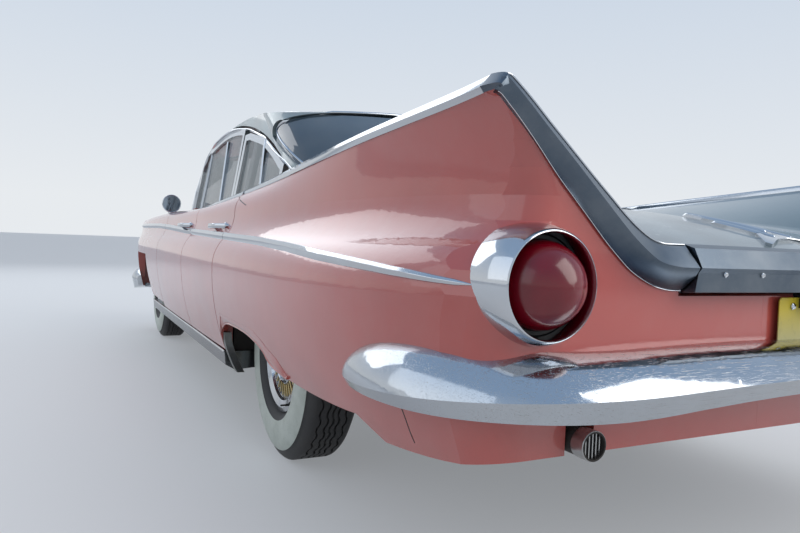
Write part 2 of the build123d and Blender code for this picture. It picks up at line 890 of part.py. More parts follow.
def wheel_profile(y):
    """Half section of a wheel: rim barrel, dish, hub with its bore, and hubcap."""
    bore = spindle_radius + spindle_gap
    disc = y + 20
    return [
        (rim_radius - 6, y - 76),
        (rim_radius - seat_gap, y - 76),
        (rim_radius - seat_gap, y + 76),
        (rim_radius - 16, y + 82),
        (150, y + 74),
        (142, y + 60),
        (88, y + 62),
        (60, y + 78),
        (24, y + 96),
        (0, y + 99),
        (0, y + 80),
        (bore, y + 80),
        (bore, disc - 35),
        (60, disc - 35),
        (60, disc),
        (120, disc + 4),
        (rim_radius - 22, disc - 6),
        (rim_radius - 18, y - 60),
    ]


def tyre_profile(y):
    """Section of a tyre: bead, sidewalls, shoulders and tread."""
    half = tyre_width / 2
    tread = tread_width / 2
    return [
        (rim_radius, y - 66),
        (rim_radius + 62, y - half),
        (tyre_radius - 30, y - half + 8),
        (tyre_radius, y - tread),
        (tyre_radius, y + tread),
        (tyre_radius - 30, y + half - 8),
        (rim_radius + 62, y + half),
        (rim_radius, y + 66),
    ]


def turned(profile, x):
    """Ring turned about a wheel's own axis at station x."""
    with BuildPart() as ring:
        with BuildSketch(Plane(origin=(x, 0, axle_z), x_dir=(0, 0, 1), z_dir=(1, 0, 0))):
            with BuildLine():
                Polyline(*[(r, -y) for r, y in profile], close=True)
            make_face()
        revolve(axis=Axis((x, 0, axle_z), (0, 1, 0)))
    return ring


for end, x, y in (("front", front_axle_x, front_wheel_y), ("rear", rear_axle_x, rear_wheel_y)):
    both_sides(turned(wheel_profile(y), x), f"wheel_{end}")
    both_sides(turned(tyre_profile(y), x), f"tyre_{end}")


def bumper(rows, facing):
    """Wrapped bumper bar lofted through sections round one end of the body.

    Columns: x, y, heading from straight ahead, depth, top z, crease z, bottom z.
    """
    low_share = 0.82
    sections = []
    right = [(x, -y, -heading, *heights) for x, y, heading, *heights in reversed(rows[1:])]
    for x, y, heading, depth, top, crease, low in right + rows:
        turn = radians(heading)
        out = (facing * cos(turn), sin(turn), 0)
        along = (out[1], -out[0], 0)
        with BuildSketch(Plane(origin=(x, y, 0), x_dir=out, z_dir=along)) as bar:
            with BuildLine():
                ThreePointArc(
                    (0, top), (depth * 0.72, top - (top - crease) * 0.26), (depth, crease)
                )
                Polyline((depth, crease), (depth * low_share, low), (0, low + 12), (0, top))
            make_face()
        sections.append(bar.sketch)
    with BuildPart() as whole_bar:
        loft(sections)
        add(body.part, mode=Mode.SUBTRACT)
    return whole_bar


rear_bumper_rows = [
    (-2604, 0, 0, 156, 597, 551, 516),
    (-2604, 300, 0, 155, 597, 549, 512),
    (-2601, 520, 2, 153, 594, 543, 501),
    (-2590, 680, 10, 151, 590, 535, 490),
    (-2545, 790, 30, 146, 590, 525, 484),
    (-2465, 870, 58, 130, 592, 511, 478),
    (-2360, 912, 78, 108, 588, 499, 474),
    (-2250, 935, 85, 78, 568, 492, 472),
    (-2168, 950, 88, 36, 522, 492, 482),
]
front_bumper_rows = [
    (2592, 0, 0, 160, 500, 415, 330),
    (2592, 300, 0, 161, 503, 415, 327),
    (2590, 560, 3, 161, 512, 418, 321),
    (2568, 740, 16, 158, 520, 420, 318),
    (2490, 870, 52, 130, 520, 420, 322),
    (2370, 920, 78, 100, 500, 415, 336),
    (2230, 950, 86, 50, 450, 415, 385),
]
finish(bumper(rear_bumper_rows, -1), "rear_bumper")
finish(bumper(front_bumper_rows, 1), "front_bumper")

# Grille: a plate with rows of small bright blocks
grille_x = 2500
grille_rows = 4
grille_columns = 20
grille_mid = (grille_top + grille_bottom) / 2
grille_height = grille_top - grille_bottom - 10
with BuildPart() as grille:
    with BuildSketch(station(grille_x)):
        with Locations((0, grille_mid)):
            Rectangle(2 * grille_half - 4, grille_height)
    extrude(amount=10)
    with BuildSketch(station(grille_x + 10)):
        with Locations((0, grille_mid)):
            with GridLocations(
                2 * grille_half / grille_columns,
                grille_height / grille_rows,
                grille_columns,
                grille_rows,
            ):
                Rectangle(40, 36)
    extrude(amount=34, taper=12)
    for side in (-1, 1):
        block(frame_nose + seat_gap, grille_x, side * 320, side * 398, rail_bottom + 3, grille_bottom + 10)
finish(grille, "grille")


def lamp_rings(radius, wall, rear, front, centres):
    """Rings about level axes along X."""
    with BuildPart() as rings:
        with BuildSketch(station(rear)):
            with Locations(*centres):
                Circle(radius + wall)
                Circle(radius, mode=Mode.SUBTRACT)
        extrude(amount=front - rear)
    return rings


def lamp_domes(radius, rear, front, rise, centres):
    """Round lenses with a domed face towards the front value of x."""
    way = 1 if front > rear else -1
    with BuildPart() as domes:
        for y, z in centres:
            with BuildSketch(Plane(origin=(0, y, z), x_dir=(1, 0, 0), z_dir=(0, -1, 0))):
                with BuildLine():
                    Polyline((front - way * rise, radius), (rear, radius), (rear, 0), (front, 0))
                    bulge = (front - way * rise * 0.3, radius * 0.68)
                    ThreePointArc((front, 0), bulge, (front - way * rise, radius))
                make_face()
            revolve(axis=Axis((0, y, z), (1, 0, 0)))
    return domes


lamp_centres = [(side * y, z) for side in (-1, 1) for y, z in headlamps]
bezel_front = nose_x + 12
bezels = lamp_rings(
    headlamp_radius, bezel_wall, nose_x - headlamp_depth + seat_gap, bezel_front, lamp_centres
)
finish(bezels, "headlamp_bezels")
lenses = lamp_domes(
    headlamp_radius - seat_gap, nose_x - headlamp_depth + seat_gap, nose_x + 4, 22, lamp_centres
)
finish(lenses, "headlamps")

# Tail lamps: a flared ring with a stepped tube through the tail, and a domed lens.
# Ring outline columns: x, distance from the lamp's axis
tail_ring = [
    (tail_sleeve_front - seat_gap, tail_lens_radius + seat_gap),
    (tail_sleeve_front - seat_gap, tail_lamp_radius),
    (tail_x - seat_gap, tail_lamp_radius),
    (tail_x - seat_gap, tail_lamp_radius + 5),
    (-2620, 106),
    (-2636, 100),
    (tail_sleeve_rear, 96.5),
    (tail_sleeve_rear, 93),
    (-2620, 90.5),
    (-2598, 90),
    (-2598, tail_lens_radius + seat_gap),
]
tail_axis = Plane(origin=(0, tail_lamp_y, tail_lamp_z), x_dir=(1, 0, 0), z_dir=(0, -1, 0))
tail_lens_rise = 91
with BuildPart() as sleeves:
    with BuildSketch(tail_axis):
        with BuildLine():
            Polyline(*tail_ring, close=True)
        make_face()
    revolve(axis=Axis(tail_axis.origin, (1, 0, 0)))
    mirror(about=Plane.XZ)
finish(sleeves, "tail_lamp_sleeves")
tail_centres = [(side * tail_lamp_y, tail_lamp_z) for side in (-1, 1)]
tail_lenses = lamp_domes(
    tail_lens_radius,
    tail_sleeve_front - seat_gap,
    tail_x - tail_lens_rise,
    tail_lens_rise,
    tail_centres,
)
finish(tail_lenses, "tail_lamps")

# Bright moulding down the rear edge of each fin, and its middle stretch on the trunk lid.
# Columns: y, z
moulding_depth = 28
moulding_outer = [
    (914, 1050),
    (866, 1014),
    (810, 948),
    (760, 890),
    (680, 826),
    (590, 750),
    (522, 712),
    (lid_half_width + panel_gap, tail_split_z + panel_gap),
]
moulding_inner = [
    (lid_half_width + panel_gap, 782),
    (520, 786),
    (570, 812),
    (625, 862),
    (722, 954),
    (812, 1030),
    (862, 1064),
    (892, 1078),
]
moulding_profile = [
    (tail_x - seat_gap, tail_split_z + panel_gap),
    (tail_x - 34, tail_split_z + 10),
    (tail_x - 40, 742),
    (tail_x - 48, 752),
    (tail_x - moulding_depth, 790),
    (tail_x - seat_gap, 798),
]

with BuildPart() as fin_mouldings:
    with BuildSketch(station(tail_x - seat_gap)):
        with BuildLine():
            Spline(*moulding_outer)
            Line(moulding_outer[-1], moulding_inner[0])
            Spline(*moulding_inner)
            ThreePointArc(moulding_inner[-1], (910, 1070), moulding_outer[0])
        make_face()
    extrude(amount=-moulding_depth)
    mirror(about=Plane.XZ)
finish(fin_mouldings, "fin_mouldings")

with BuildPart() as trunk_moulding:
    with BuildSketch(Plane.XZ):
        with BuildLine():
            Polyline(*moulding_profile, close=True)
        make_face()
    extrude(amount=lid_half_width, both=True)
finish(trunk_moulding, "trunk_moulding")

# Round mirror on the driver's front fender
mirror_place = (1130, 900, 988)
with BuildPart() as fender_mirror:
    with BuildSketch(station(mirror_place[0])):
        with Locations(mirror_place[1:]):
            Circle(60)
    extrude(amount=24, taper=25)
    with BuildSketch(Plane.XY.offset(850)):
        with Locations((mirror_place[0] + 12, mirror_place[1])):
            Circle(9)
    extrude(amount=110)
    with BuildSketch(Plane.XY.offset(850)):
        with Locations((mirror_place[0] + 12, mirror_place[1])):
            Circle(20)
    extrude(amount=84)
    add(half_body.part, mode=Mode.SUBTRACT)
finish(fender_mirror, "fender_mirror")

# Dashboard with the steering column
dash_rear = 900
dash_front = firewall_x - 150 - seat_gap
wheel_centre = (600, 380, 810)
column_slope = 24
with BuildPart() as dashboard:
    with BuildSketch(Plane.XZ):
        with BuildLine():
            Polyline(
                (dash_front, 640),
                (dash_rear + 60, 660),
                (dash_rear, 720),
                (dash_rear + 20, 870),
                (dash_rear + 70, 895),
                (dash_front, 895),
                close=True,
            )
        make_face()
    extrude(amount=735, both=True)
    extrude(glass_outline(glass_rows[0], roof_thick + 8), amount=400, both=True, mode=Mode.INTERSECT)
    away = (cos(radians(column_slope)), 0, -sin(radians(column_slope)))
    column_top = Plane(origin=wheel_centre, z_dir=away).offset(45)
    with BuildSketch(column_top):
        Circle(24)
    extrude(amount=560)
finish(dashboard, "dashboard")

with BuildPart() as steering_wheel:
    rim_plane = Plane(origin=wheel_centre, z_dir=away)
    with BuildSketch(Plane(origin=wheel_centre, x_dir=(0, 1, 0), z_dir=(away[2], 0, -away[0]))):
        with Locations((200, 0)):
            Circle(12)
    revolve(axis=Axis(wheel_centre, away))
    with BuildSketch(rim_plane):
        Circle(42)
        Rectangle(26, 396)
    extrude(amount=14)
    with BuildSketch(rim_plane.offset(14)):
        Circle(30)
    extrude(amount=31 - seat_gap)
finish(steering_wheel, "steering_wheel")

# Bench seats
seat_half = 640
rear_seat_half = 590
seat_low = floor_z + sheet + seat_gap


def bench(points, half, radius):
    """Bench seat from its side outline."""
    with BuildPart() as seat:
        with BuildSketch(Plane.XZ):
            with BuildLine():
                Polyline(*points, close=True)
            make_face()
            fillet(vertices(), radius)
        extrude(amount=half, both=True)
    return seat


front_bench = bench(
    [(480, 440), (500, 570), (10, 540), (-90, 905), (-180, 905), (-90, 440)], seat_half, 30
)
rear_bench = bench(
    [(-560, 425), (-540, 575), (-900, 545), (-965, 860), (-1040, 860), (-1040, 425)],
    rear_seat_half,
    30,
)
with BuildPart() as seats:
    add(front_bench.part)
    add(rear_bench.part)
    for side in (-1, 1):
        block(-60, 420, side * 560, side * 600, seat_low, 445)
        block(-60, 420, side * 190, side * 230, seat_low, 445)
        block(-1000, -600, side * 540, side * 580, seat_low, 430)
        block(-1000, -600, side * 190, side * 230, seat_low, 430)
finish(seats, "seats")

with BuildPart() as engine_block:
    block(1460, 2100, -255, 255, 320, 700)
    fillet(edges().filter_by(Axis.X), 40)
    block(1480, 1780, -110, 110, rail_bottom + 40, 330)
    block(1840, 1950, -200, 200, rail_top - 20 + seat_gap, 330)
finish(engine_block, "engine_block")

# Exhaust along the driver's side, out under the tail
exhaust_radius = 24
exhaust_route = [
    (1240, 520, 245),
    (-700, 565, 235),
    (-1300, 565, 240),
    (-2180, 620, 300),
    (-2430, tailpipe_y, tailpipe_z),
    (-2560, tailpipe_y, tailpipe_z),
]
with BuildPart() as exhaust:
    with BuildLine() as route:
        FilletPolyline(*exhaust_route, radius=150)
    with BuildSketch(Plane(origin=route.line @ 0, z_dir=route.line % 0)):
        Circle(exhaust_radius)
    sweep()
    with BuildSketch(station(-500)):
        with Locations((560, 236)):
            Ellipse(95, 58)
    extrude(amount=650)
    with BuildSketch(station(tailpipe_end)):
        with Locations((tailpipe_y, tailpipe_z)):
            Circle(tailpipe_radius)
    extrude(amount=180)
    with BuildSketch(station(tailpipe_end)):
        with Locations((tailpipe_y, tailpipe_z)):
            Circle(tailpipe_bore)
    extrude(amount=90, mode=Mode.SUBTRACT)
    block(-2312, -2290, 588, 610, 345, trunk_floor_z - seat_gap)
    block(-2312, -2290, 588, 655, 345, 372)
finish(exhaust, "exhaust")
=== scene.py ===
import math

import bmesh
import bpy
from mathutils import Matrix, Vector
from mathutils.bvhtree import BVHTree


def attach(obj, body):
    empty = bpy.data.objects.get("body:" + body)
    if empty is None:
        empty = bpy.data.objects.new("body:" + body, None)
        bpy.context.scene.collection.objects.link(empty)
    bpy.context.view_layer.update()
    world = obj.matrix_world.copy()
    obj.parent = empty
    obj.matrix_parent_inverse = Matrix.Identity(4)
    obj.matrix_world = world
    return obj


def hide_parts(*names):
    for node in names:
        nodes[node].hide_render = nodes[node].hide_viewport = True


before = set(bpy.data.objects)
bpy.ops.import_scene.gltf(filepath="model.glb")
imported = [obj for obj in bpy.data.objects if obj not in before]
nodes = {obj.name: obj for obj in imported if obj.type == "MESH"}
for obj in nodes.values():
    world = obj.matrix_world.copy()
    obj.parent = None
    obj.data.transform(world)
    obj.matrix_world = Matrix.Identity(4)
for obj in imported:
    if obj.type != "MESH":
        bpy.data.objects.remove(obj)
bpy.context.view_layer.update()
print("frame loaded:", len(nodes), "nodes")

view = dict(
    place=(-3.5314, 1.5442, 0.7764), yaw=0.4689, pitch=0.0335, roll=0.0374, focalPixels=668.4, width=800
)


def makeCamera():
    cosPitch = math.cos(view["pitch"])
    forward = Vector((
        cosPitch * math.cos(view["yaw"]), -cosPitch * math.sin(view["yaw"]), -math.sin(view["pitch"])
    ))
    side = forward.cross(Vector((0, 0, 1))).normalized()
    above = side.cross(forward)
    c, s = math.cos(view["roll"]), math.sin(view["roll"])
    right = c * side + s * above
    up = c * above - s * side
    data = bpy.data.cameras.new("photoCamera")
    data.sensor_width = 36
    data.lens = view["focalPixels"] * 36 / view["width"]
    data.clip_end = 200
    camera = bpy.data.objects.new("photoCamera", data)
    bpy.context.scene.collection.objects.link(camera)
    turn = Matrix((right, up, -forward)).transposed().to_4x4()
    camera.matrix_world = Matrix.Translation(view["place"]) @ turn
    bpy.context.scene.camera = camera


makeCamera()
bpy.context.scene.view_settings.view_transform = "Standard"


# shader helpers
def plug(tree, value, socket):
    if isinstance(value, bpy.types.NodeSocket):
        tree.links.new(value, socket)
    elif isinstance(value, tuple) and len(value) == 3 and len(socket.default_value) == 4:
        socket.default_value = (*value, 1)
    else:
        socket.default_value = value


def node(tree, kind, settings=None, **values):
    # settings are properties; values go to sockets, named without spaces
    made = tree.nodes.new(kind)
    for key, value in (settings or {}).items():
        setattr(made, key, value)
    for key, value in values.items():
        socket = next(s for s in made.inputs if s.name.replace(" ", "") == key and s.enabled)
        plug(tree, value, socket)
    return made


def mixColour(tree, factor, first, second):
    made = node(tree, "ShaderNodeMix", dict(data_type="RGBA"))
    for value, index in ((factor, 0), (first, 6), (second, 7)):
        plug(tree, value, made.inputs[index])
    return made.outputs[2]


def mixValue(tree, factor, first, second):
    made = node(tree, "ShaderNodeMix", dict(data_type="FLOAT"))
    for value, index in ((factor, 0), (first, 2), (second, 3)):
        plug(tree, value, made.inputs[index])
    return made.outputs[0]


def maths(tree, operation, first, second=0.0, clamp=False):
    made = node(tree, "ShaderNodeMath", dict(operation=operation, use_clamp=clamp))
    plug(tree, first, made.inputs[0])
    plug(tree, second, made.inputs[1])
    return made.outputs[0]


def times(tree, first, second, clamp=False):
    return maths(tree, "MULTIPLY", first, second, clamp)


def remainder(tree, value):
    # what is left of 1
    return maths(tree, "SUBTRACT", 1.0, value, True)


def larger(tree, first, second):
    return maths(tree, "MAXIMUM", first, second)


def spread(tree, value, low, high, start=0.0, end=1.0):
    # maps low..high to start..end, clamped
    made = node(tree, "ShaderNodeMapRange", dict(clamp=True))
    for item, index in ((value, 0), (low, 1), (high, 2), (start, 3), (end, 4)):
        plug(tree, item, made.inputs[index])
    return made.outputs[0]


def noise(tree, vector, scale, detail=3.0, rough=0.55):
    made = node(
        tree, "ShaderNodeTexNoise", None, Vector=vector, Scale=scale, Detail=detail, Roughness=rough
    )
    return made.outputs["Fac"]


def bump(tree, height, strength, distance):
    made = node(tree, "ShaderNodeBump", None, Height=height, Strength=strength, Distance=distance)
    return made.outputs["Normal"]


def objectPlace(tree):
    return node(tree, "ShaderNodeTexCoord").outputs["Object"]


def split(tree, vector):
    return node(tree, "ShaderNodeSeparateXYZ", None, Vector=vector).outputs


def stretched(tree, vector, scale):
    made = node(tree, "ShaderNodeMapping", None, Vector=vector, Scale=scale)
    return made.outputs["Vector"]


def effectGroup(name, inputs, outputs):
    # empty node group with number sockets: inputs with their first values, and outputs
    number = "NodeSocketFloat"
    tree = bpy.data.node_groups.new(name, "ShaderNodeTree")
    for label, value in inputs.items():
        tree.interface.new_socket(name=label, in_out="INPUT", socket_type=number).default_value = value
    for label in outputs:
        tree.interface.new_socket(name=label, in_out="OUTPUT", socket_type=number)
    return tree, node(tree, "NodeGroupInput").outputs, node(tree, "NodeGroupOutput").inputs


def useGroup(tree, group, **values):
    made = tree.nodes.new("ShaderNodeGroup")
    made.node_tree = group
    for key, value in values.items():
        plug(tree, value, made.inputs[key])
    return made.outputs


def makeRoadDirt():
    # dust and splashes that thin out with height
    tree, given, result = effectGroup("roadDirt", dict(Amount=0.5, Top=0.5), ["Mask"])
    at = objectPlace(tree)
    height = split(tree, at)["Z"]
    low = spread(tree, height, given["Top"], 0.1)
    cloud = spread(tree, noise(tree, at, 7.0, 6.0, 0.65), 0.35, 0.75, 0.25, 1.0)
    grains = spread(tree, noise(tree, at, 260.0, 2.0), 0.4, 0.7, 0.6, 1.0)
    mask = times(tree, times(tree, low, cloud), grains)
    plug(tree, times(tree, mask, given["Amount"], True), result["Mask"])
    return tree


def makeFilm():
    # thin uneven film, and water spots on upper faces
    tree, given, result = effectGroup("dustFilm", dict(Amount=0.3, Scale=5.0), ["Film", "Spots"])
    at = objectPlace(tree)
    cloud = noise(tree, at, given["Scale"], 5.0, 0.6)
    film = times(tree, spread(tree, cloud, 0.4, 0.7), given["Amount"])
    drops = noise(tree, stretched(tree, at, (1, 1.7, 1)), 34.0, 3.0, 0.6)
    spots = times(tree, spread(tree, drops, 0.66, 0.72), given["Amount"])
    plug(tree, film, result["Film"])
    plug(tree, spots, result["Spots"])
    return tree


def makePitting():
    # pits and fine scratches in old plating
    tree, given, result = effectGroup("pitting", dict(Pits=0.3, Scratches=0.3), ["Mask", "Height"])
    at = objectPlace(tree)
    pits = spread(tree, noise(tree, at, 420.0, 2.0, 0.5), 0.66, 0.72)
    patches = spread(tree, noise(tree, at, 16.0, 4.0, 0.6), 0.42, 0.66)
    dots = times(tree, times(tree, pits, patches), given["Pits"])
    lines = noise(tree, stretched(tree, at, (60, 3, 220)), 6.0, 2.0, 0.5)
    marks = times(tree, spread(tree, lines, 0.62, 0.68), given["Scratches"])
    both = larger(tree, dots, marks)
    plug(tree, both, result["Mask"])
    plug(tree, times(tree, both, -1.0), result["Height"])
    return tree


def makeOrangePeel():
    # the slight waviness of sprayed paint
    tree, given, result = effectGroup("orangePeel", dict(Scale=160.0), ["Height"])
    plug(tree, noise(tree, objectPlace(tree), given["Scale"], 1.0, 0.4), result["Height"])
    return tree


roadDirt = makeRoadDirt()
dustFilm = makeFilm()
pitting = makePitting()
orangePeel = makeOrangePeel()


def newMaterial(name):
    material = bpy.data.materials.new(name)
    material.use_nodes = True
    return material, material.node_tree


def setShader(tree, **values):
    shader = next(n for n in tree.nodes if n.type == "BSDF_PRINCIPLED")
    for key, value in values.items():
        socket = next(s for s in shader.inputs if s.name.replace(" ", "") == key)
        plug(tree, value, socket)


paintLook = dict(
    coral=(0.6, 0.098, 0.078),
    coralDeep=(0.51, 0.076, 0.06),
    steelBlue=(0.145, 0.205, 0.215),
    steelPale=(0.19, 0.25, 0.255),
    dirt=(0.13, 0.105, 0.085),
    dust=(0.4, 0.35, 0.33),
    flake=(0.42, 0.5, 0.52),
    waterSpot=(0.66, 0.68, 0.66),
    chrome=(0.58, 0.6, 0.62),
    belt=0.955,  # above it and inside frameOuter the door panels are plated window frames
    frameOuter=0.83,
    inwardLimit=0.12,  # faces turned inboard of this and up by more than upLimit take the second colour
    upLimit=0.3,
    gloss=0.28,
    platedGloss=0.16,
)
trimLook = dict(
    platingWear=(0.3, 0.29, 0.26),
    platingFilm=(0.42, 0.43, 0.43),
    glassFilm=(0.4, 0.42, 0.4),
    tyreDirt=(0.1, 0.095, 0.085),
    whitewall=(0.64, 0.69, 0.62),
    whitewallStain=(0.53, 0.58, 0.51),
    whitewallSpeck=(0.22, 0.21, 0.17),
    lensDeep=(0.13, 0.0004, 0.006),
    lensBright=(0.24, 0.001, 0.013),
    clothDark=(0.055, 0.078, 0.08),
    clothPale=(0.17, 0.205, 0.2),
    clothThread=(0.42, 0.43, 0.38),
    plateLow=(0.5, 0.49, 0.28),
    plateHigh=(0.62, 0.48, 0.03),
    plateGrime=(0.25, 0.22, 0.12),
    plateFade=(0.575, 0.665),
)


def upperInnerMask(tree):
    # 1 on the inboard slopes of the fins and the deck, 0 on the body sides
    coordinates = node(tree, "ShaderNodeTexCoord").outputs
    place, facing = split(tree, coordinates["Object"]), split(tree, coordinates["Normal"])
    inward = times(tree, facing["Y"], maths(tree, "SIGN", place["Y"]))
    slope = maths(tree, "LESS_THAN", inward, paintLook["inwardLimit"])
    up = maths(tree, "GREATER_THAN", facing["Z"], paintLook["upLimit"])
    return times(tree, slope, up)


def coralPaint(name, twoTone=False, windowFrame=False):
    material, tree = newMaterial(name)
    at = objectPlace(tree)
    shade = spread(tree, noise(tree, at, 1.7, 3.0), 0.35, 0.65)
    colour = mixColour(tree, shade, paintLook["coralDeep"], paintLook["coral"])
    metal, rough = 0.0, paintLook["gloss"]
    if twoTone:
        mask = upperInnerMask(tree)
        flake = spread(tree, noise(tree, at, 2.3, 4.0), 0.35, 0.65)
        second = mixColour(tree, flake, paintLook["steelBlue"], paintLook["steelPale"])
        colour = mixColour(tree, mask, colour, second)
        metal = times(tree, mask, 0.35)
    if windowFrame:
        xyz = split(tree, at)
        above = maths(tree, "GREATER_THAN", xyz["Z"], paintLook["belt"])
        inner = maths(tree, "LESS_THAN", maths(tree, "ABSOLUTE", xyz["Y"]), paintLook["frameOuter"])
        mask = times(tree, above, inner)
        colour = mixColour(tree, mask, colour, paintLook["chrome"])
        metal = mask
        rough = mixValue(tree, mask, paintLook["gloss"], paintLook["platedGloss"])
    dirt = useGroup(tree, roadDirt, Amount=0.55, Top=0.62)["Mask"]
    film = useGroup(tree, dustFilm, Amount=0.1, Scale=4.0)["Film"]
    colour = mixColour(tree, film, colour, paintLook["dust"])
    colour = mixColour(tree, dirt, colour, paintLook["dirt"])
    rough = maths(tree, "ADD", rough, times(tree, dirt, 0.5), True)
    coat = remainder(tree, times(tree, dirt, 0.9))
    peel = useGroup(tree, orangePeel, Scale=150.0)["Height"]
    setShader(
        tree,
        BaseColor=colour,
        Metallic=metal,
        Roughness=rough,
        CoatWeight=coat,
        CoatRoughness=0.04,
        Normal=bump(tree, peel, 0.12, 0.0006),
    )
    return material


def metallicPaint(name):
    material, tree = newMaterial(name)
    at = objectPlace(tree)
    shade = spread(tree, noise(tree, at, 2.3, 4.0), 0.35, 0.65)
    flakes = spread(tree, noise(tree, at, 900.0, 1.0), 0.45, 0.62)
    colour = mixColour(tree, shade, paintLook["steelBlue"], paintLook["steelPale"])
    colour = mixColour(tree, times(tree, flakes, 0.25), colour, paintLook["flake"])
    film = useGroup(tree, dustFilm, Amount=0.45, Scale=3.0)
    colour = mixColour(tree, film["Film"], colour, paintLook["dust"])
    colour = mixColour(tree, film["Spots"], colour, paintLook["waterSpot"])
    rough = mixValue(tree, film["Film"], 0.3, 0.55)
    peel = useGroup(tree, orangePeel, Scale=150.0)["Height"]
    setShader(
        tree,
        BaseColor=colour,
        Metallic=0.4,
        Roughness=rough,
        CoatWeight=maths(tree, "SUBTRACT", 1.0, film["Film"]),
        CoatRoughness=0.05,
        Normal=bump(tree, peel, 0.12, 0.0006),
    )
    return material


def plating(name, colour=(0.56, 0.58, 0.61), rough=0.06, pits=0.2, scratches=0.15, dirtTop=0.4, haze=0.1):
    # chrome with pits, scratches and a film of dust
    material, tree = newMaterial(name)
    wear = useGroup(tree, pitting, Pits=pits, Scratches=scratches)
    dirt = useGroup(tree, roadDirt, Amount=0.6, Top=dirtTop)["Mask"]
    film = useGroup(tree, dustFilm, Amount=haze, Scale=9.0)
    base = mixColour(tree, wear["Mask"], colour, trimLook["platingWear"])
    base = mixColour(tree, film["Film"], base, trimLook["platingFilm"])
    base = mixColour(tree, dirt, base, paintLook["dirt"])
    dull = larger(tree, larger(tree, wear["Mask"], film["Film"]), dirt)
    metal = remainder(tree, times(tree, dirt, 0.9))
    setShader(
        tree,
        BaseColor=base,
        Metallic=metal,
        Roughness=mixValue(tree, dull, rough, 0.55),
        Normal=bump(tree, wear["Height"], 0.5, 0.0004),
    )
    return material


def tintedGlass(name, tint=(0.1, 0.16, 0.165), alpha=0.42):
    material, tree = newMaterial(name)
    film = useGroup(tree, dustFilm, Amount=0.12, Scale=6.0)["Film"]
    setShader(
        tree,
        BaseColor=mixColour(tree, film, tint, trimLook["glassFilm"]),
        Roughness=mixValue(tree, film, 0.02, 0.2),
        Alpha=alpha,
        CoatWeight=1.0,
        CoatRoughness=0.02,
    )
    material.surface_render_method = "BLENDED"
    return material


def rubber(name, colour=(0.022, 0.022, 0.023), dusty=0.5):
    material, tree = newMaterial(name)
    at = objectPlace(tree)
    dirt = useGroup(tree, roadDirt, Amount=dusty, Top=0.9)["Mask"]
    mottle = noise(tree, at, 60.0, 4.0)
    base = mixColour(tree, mottle, colour, tuple(1.7 * c for c in colour))
    setShader(
        tree,
        BaseColor=mixColour(tree, dirt, base, trimLook["tyreDirt"]),
        Roughness=mixValue(tree, dirt, 0.55, 0.85),
        Normal=bump(tree, noise(tree, at, 500.0, 2.0), 0.25, 0.0004),
    )
    return material


def whiteRubber(name):
    material, tree = newMaterial(name)
    at = objectPlace(tree)
    stain = spread(tree, noise(tree, at, 14.0, 5.0, 0.6), 0.4, 0.75)
    specks = spread(tree, noise(tree, at, 120.0, 3.0), 0.62, 0.72)
    base = mixColour(tree, stain, trimLook["whitewall"], trimLook["whitewallStain"])
    base = mixColour(tree, times(tree, specks, 0.3), base, trimLook["whitewallSpeck"])
    setShader(
        tree,
        BaseColor=base,
        Roughness=mixValue(tree, stain, 0.42, 0.6),
        Normal=bump(tree, noise(tree, at, 300.0, 2.0), 0.15, 0.0004),
    )
    return material


def redLens(name):
    material, tree = newMaterial(name)
    at = objectPlace(tree)
    deep = spread(tree, noise(tree, at, 9.0, 2.0), 0.3, 0.7)
    setShader(
        tree,
        BaseColor=mixColour(tree, deep, trimLook["lensDeep"], trimLook["lensBright"]),
        Roughness=0.22,
        CoatWeight=0.35,
        CoatRoughness=0.03,
        Normal=bump(tree, noise(tree, at, 30.0, 1.0), 0.04, 0.001),
    )
    return material


def matt(name, colour, rough=0.6, grain=80.0, lift=0.3, dusty=0.3, top=0.5):
    # plain dark or moulded finish with grain and dust
    material, tree = newMaterial(name)
    at = objectPlace(tree)
    fine = noise(tree, at, grain, 4.0)
    dirt = useGroup(tree, roadDirt, Amount=dusty, Top=top)["Mask"]
    base = mixColour(tree, fine, colour, tuple(min(1, 1.5 * c) for c in colour))
    setShader(
        tree,
        BaseColor=mixColour(tree, dirt, base, paintLook["dirt"]),
        Roughness=mixValue(tree, fine, rough, min(1, rough + 0.15)),
        Normal=bump(tree, fine, lift, 0.0008),
    )
    return material


def wovenCloth(name):
    # ribbed seat cloth with a bright thread
    material, tree = newMaterial(name)
    at = objectPlace(tree)
    wave = node(
        tree, "ShaderNodeTexWave", dict(bands_direction="Y"), Vector=at, Scale=150.0, Distortion=0.6
    )
    cross = node(
        tree, "ShaderNodeTexWave", dict(bands_direction="DIAGONAL"), Vector=at, Scale=210.0, Distortion=0.4
    )
    weave = times(tree, wave.outputs["Fac"], cross.outputs["Fac"])
    thread = spread(tree, noise(tree, stretched(tree, at, (3, 60, 3)), 12.0, 2.0), 0.6, 0.68)
    colour = mixColour(tree, weave, trimLook["clothDark"], trimLook["clothPale"])
    colour = mixColour(tree, times(tree, thread, 0.45), colour, trimLook["clothThread"])
    setShader(
        tree,
        BaseColor=colour,
        Roughness=0.85,
        SheenWeight=0.3,
        Normal=bump(tree, weave, 0.6, 0.0012),
    )
    return material


def yellowPlate(name):
    # blank plate: yellow that fades pale towards the bottom
    material, tree = newMaterial(name)
    at = objectPlace(tree)
    height = split(tree, at)["Z"]
    fade = spread(tree, height, *trimLook["plateFade"])
    grime = spread(tree, noise(tree, at, 40.0, 4.0), 0.55, 0.75, 0.0, 0.35)
    colour = mixColour(tree, fade, trimLook["plateLow"], trimLook["plateHigh"])
    setShader(
        tree,
        BaseColor=mixColour(tree, grime, colour, trimLook["plateGrime"]),
        Roughness=mixValue(tree, grime, 0.35, 0.7),
        Normal=bump(tree, noise(tree, at, 900.0, 1.0), 0.1, 0.0003),
    )
    return material


